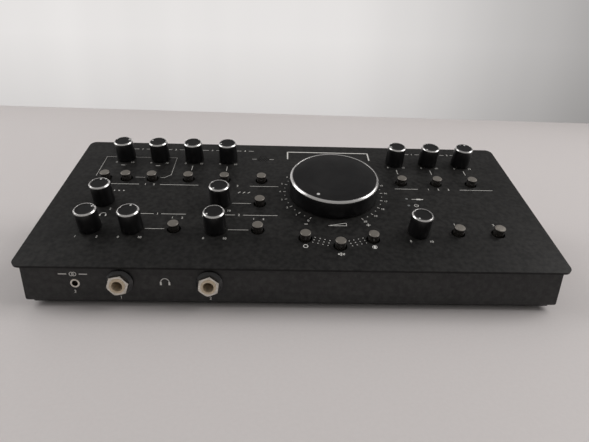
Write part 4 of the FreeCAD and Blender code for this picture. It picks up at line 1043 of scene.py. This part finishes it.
# %% Numbers at the knobs
knob_places = {name: control_place(name + "_turn") for name in knob_names}
inputs = [knob_places["input_gain_knob_" + str(number)][0] for number in (1, 2, 3, 4)]
monitors = [knob_places["monitor_trim_knob_" + str(number)][0] for number in (1, 2, 3)]
rear_row = knob_places["input_gain_knob_1"][1]
second_row = knob_places["source_mix_knob"][1]
front_row = knob_places["headphone_mix_knob"][1]
talk, button_row = button_place("talkback_button")
for name, (across, up) in knob_places.items():
    low, high = ("1", "2") if "mix" in name else ("0", "10")
    below, apart = (6.6, 6.0) if up == rear_row else (8.6, 6.6)
    numeral(low, across - apart, up - below, 2.6)
    numeral(high, across + apart, up - below, 2.6)
for across in inputs[2:] + monitors:
    bar((across, rear_row - 10.0), (across, rear_row - 15.8), 0.4)
for across in inputs[:2]:
    bar((across - 1.6, rear_row - 10.6), (across + 1.6, rear_row - 10.6), STROKE)
print("knob numbers:", len(marks), "marks")

# %% [markdown]
# A title line runs along each group of controls, with gaps for the numbers of its channels.

# %% Title lines
def titled_line(up, stretches, numbers):
    for start, end in stretches:
        bar((start, up), (end, up), LINE)
    for number, across in numbers:
        numeral(number, across, up, 2.8)


title_row, phones_row, name_row = button_row - 7.4, front_row + 15.3, rear_row + 13.9
input_line = [(inputs[0] - 2.3, inputs[1] - 8), (inputs[1] + 7, inputs[2] + 8)]
input_line.append((inputs[3] + 19, talk + 12.5))
channels = [("1", inputs[1] - 3.5), ("2", inputs[1] + 2.5)]
sources = [("1", inputs[3] - 10), ("2", inputs[3]), ("3", inputs[3] + 10)]
titled_line(title_row, input_line, channels + sources)
monitor_line = [(monitors[0] - 6, monitors[0] + 11), (monitors[2] - 10.5, monitors[2] + 14)]
speakers = [("1", monitors[1] - 7.5), ("2", monitors[1]), ("3", monitors[1] + 7.5)]
titled_line(title_row, monitor_line, speakers)
first_phones = [(inputs[1] + 1.6, inputs[1] + 10), (inputs[1] + 15, inputs[2] + 5)]
second_phones = [(inputs[3] + 4.5, inputs[3] + 11), (inputs[3] + 16.5, talk + 12.4)]
titled_line(phones_row, first_phones + second_phones, [("1", inputs[1] + 12.5), ("2", inputs[3] + 13.7)])
for number, across in enumerate((inputs[0] + 9, inputs[1] + 9, inputs[2] + 12, inputs[3] + 12), start=1):
    titled_line(name_row, [(across - 10, across - 3), (across + 3, across + 7)], [(str(number), across)])
for number, across in enumerate((monitors[0] + 17, monitors[1] + 20), start=1):
    titled_line(name_row, [(across - 6, across - 2.5), (across + 2.5, across + 6)], [(str(number), across)])
print("title lines:", len(marks), "marks")

# %% [markdown]
# Short links join a knob to the button beside it. A thin frame goes round the first two input knobs, and the
# buttons that choose between two sounds have a small 1 and 2 behind them.

# %% Links and frame
for knob_across, button_across, up in (
    (inputs[1], inputs[2], front_row),
    (inputs[3], talk, front_row),
    (inputs[3], talk, second_row),
):
    bar((knob_across + 8, up), (button_across - 6, up), LINE)
frame_left, frame_right, frame_top = inputs[0] - 15.4, inputs[1] + 12.4, rear_row + 1.3
frame_foot, frame_side = button_row + 1.6, button_row + 5.6
bar((inputs[0] + 13.5, frame_foot), (inputs[0] + 20.5, frame_foot), HAIRLINE)
frame_line = [
    (inputs[1] + 5.5, frame_foot),
    (inputs[1] + 8.4, frame_foot),
    (frame_right, frame_side),
    (frame_right, frame_top),
    (frame_left, frame_top),
    (frame_left, frame_foot + 1),
]
bars_through(frame_line, HAIRLINE)
for across in (inputs[2], talk):
    for number, side in (("1", -1), ("2", 1)):
        numeral(number, across + side * 3.2, front_row + 11.4, 2.6)
for number, across in (("1", monitors[1]), ("2", monitors[2])):
    numeral(number, across, front_row + 9, 2.6)
print("links and frame:", len(marks), "marks")

# %% [markdown]
# ### Signs in place of words
# A ring stands for one channel, a crossed loudspeaker for silence and a half-filled ring for softer sound. By
# the lamps stand a plug and the sign for power, and by the headphone groups a small headband.

# %% Shapes of the signs
def headband(x, y, size):
    arc(x, y, size, 0, 180, 0.16 * size, 10)
    for side in (-1, 1):
        bar((x + side * size, y + 0.1 * size), (x + side * size, y - 0.75 * size), 0.42 * size)


def crossed_speaker(x, y):
    bar((x - 2.0, y), (x - 1.0, y), 1.1)
    bar((x - 1.0, y - 0.5), (x, y - 1.2), 0.4)
    bar((x - 1.0, y + 0.5), (x, y + 1.2), 0.4)
    bar((x, y - 1.3), (x, y + 1.3), 0.4)
    bar((x + 0.7, y - 0.8), (x + 2.1, y + 0.8), 0.4)
    bar((x + 0.7, y + 0.8), (x + 2.1, y - 0.8), 0.4)


def half_ring(x, y):
    arc(x, y, 1.4, 0, 360, 0.35, 14)
    bar((x, y - 1.2), (x, y + 1.2), 1.3)


def plug_sign(x, y):
    bar((x - 4.0, y), (x - 0.6, y), 0.45)
    bar((x - 0.6, y), (x + 2.4, y), 1.6)
    bar((x + 2.4, y), (x + 4.2, y), 0.8)


def power_sign(x, y):
    arc(x, y, 1.35, 125, 415, 0.4, 12)
    bar((x, y + 0.4), (x, y + 1.8), 0.4)


print("sign shapes ready")

# %% Signs on the plate
SIGN_BELOW = 7.3
mono_across, mono_up = button_place("mono_button")
mute_across, mute_up = button_place("mute_button")
dim_across, dim_up = button_place("dim_button")
arc(mono_across, mono_up - SIGN_BELOW, 1.4, 0, 360, 0.45, 14)
crossed_speaker(mute_across, mute_up - SIGN_BELOW)
half_ring(dim_across, dim_up - SIGN_BELOW)
headband(inputs[3] - 8.1, phones_row - 0.6, 1.9)
headband(inputs[0] + 3.7, front_row + 13.6, 1.9)
for step in (-1, 0, 1):
    dot(inputs[0] + 6.4 + 3.2 * step, second_row + 12.8, 0.55)
    slash = inputs[3] + 15.3 + 3.4 * step
    bar((slash - 0.8, second_row + 12.1), (slash + 0.8, second_row + 13.7), STROKE)
LAMP_SIGNS = monitors[0] + 7.6
plug_sign(LAMP_SIGNS, second_row + 8.3)
power_sign(LAMP_SIGNS - 2.2, second_row + 0.9)
for side in (-1, 1):
    bar((talk + side * 5.0, rear_row + 1.8), (talk + side * 8.6, rear_row + 1.8), LINE)
finish_print("control_print", plate_place(0, 0))

# %% [markdown]
# ### Front wall
# A headband stands between the two headphone jacks, which are numbered, and two linked rings mark the small
# stereo input.

# %% Front wall print
first_phone, phone_up = mount_place("headphone_out_1")
second_phone, phone_up = mount_place("headphone_out_2")
stereo, stereo_up = mount_place("stereo_in")
headband((first_phone + second_phone) / 2, phone_up - 0.1, 2.5)
numeral("1", first_phone - 0.4, phone_up - 10.6, 2.8)
numeral("2", second_phone + 0.2, phone_up - 10.6, 2.8)
for side in (-1, 1):
    arc(stereo - 0.7 + side * 0.75, stereo_up + 5.9, 1.2, 0, 360, 0.4, 14)
    bar((stereo - 0.7 + side * 3.6, stereo_up + 5.9), (stereo - 0.7 + side * 8.4, stereo_up + 5.9), 0.55)
numeral("3", stereo - 0.7, stereo_up - 5.7, 2.8)
finish_print("front_print", FRONT_FACE)

# %% [markdown]
# ### Rear wall
# The rear sockets are numbered in the same ink. Seen from behind, left and right change places, so a number's
# place across the wall is counted the other way.

# %% Rear wall print
for name, mount in mounts.items():
    if name.startswith("line_") or name.startswith("combo_in_"):
        across, up = mount_place(name)
        away = (8.2, 6.2) if name.startswith("line_") else (0, 18.6)
        numeral(name.rsplit("_", 1)[1], -across + away[0], up + away[1], 2.6)
finish_print("rear_print", REAR_FACE)
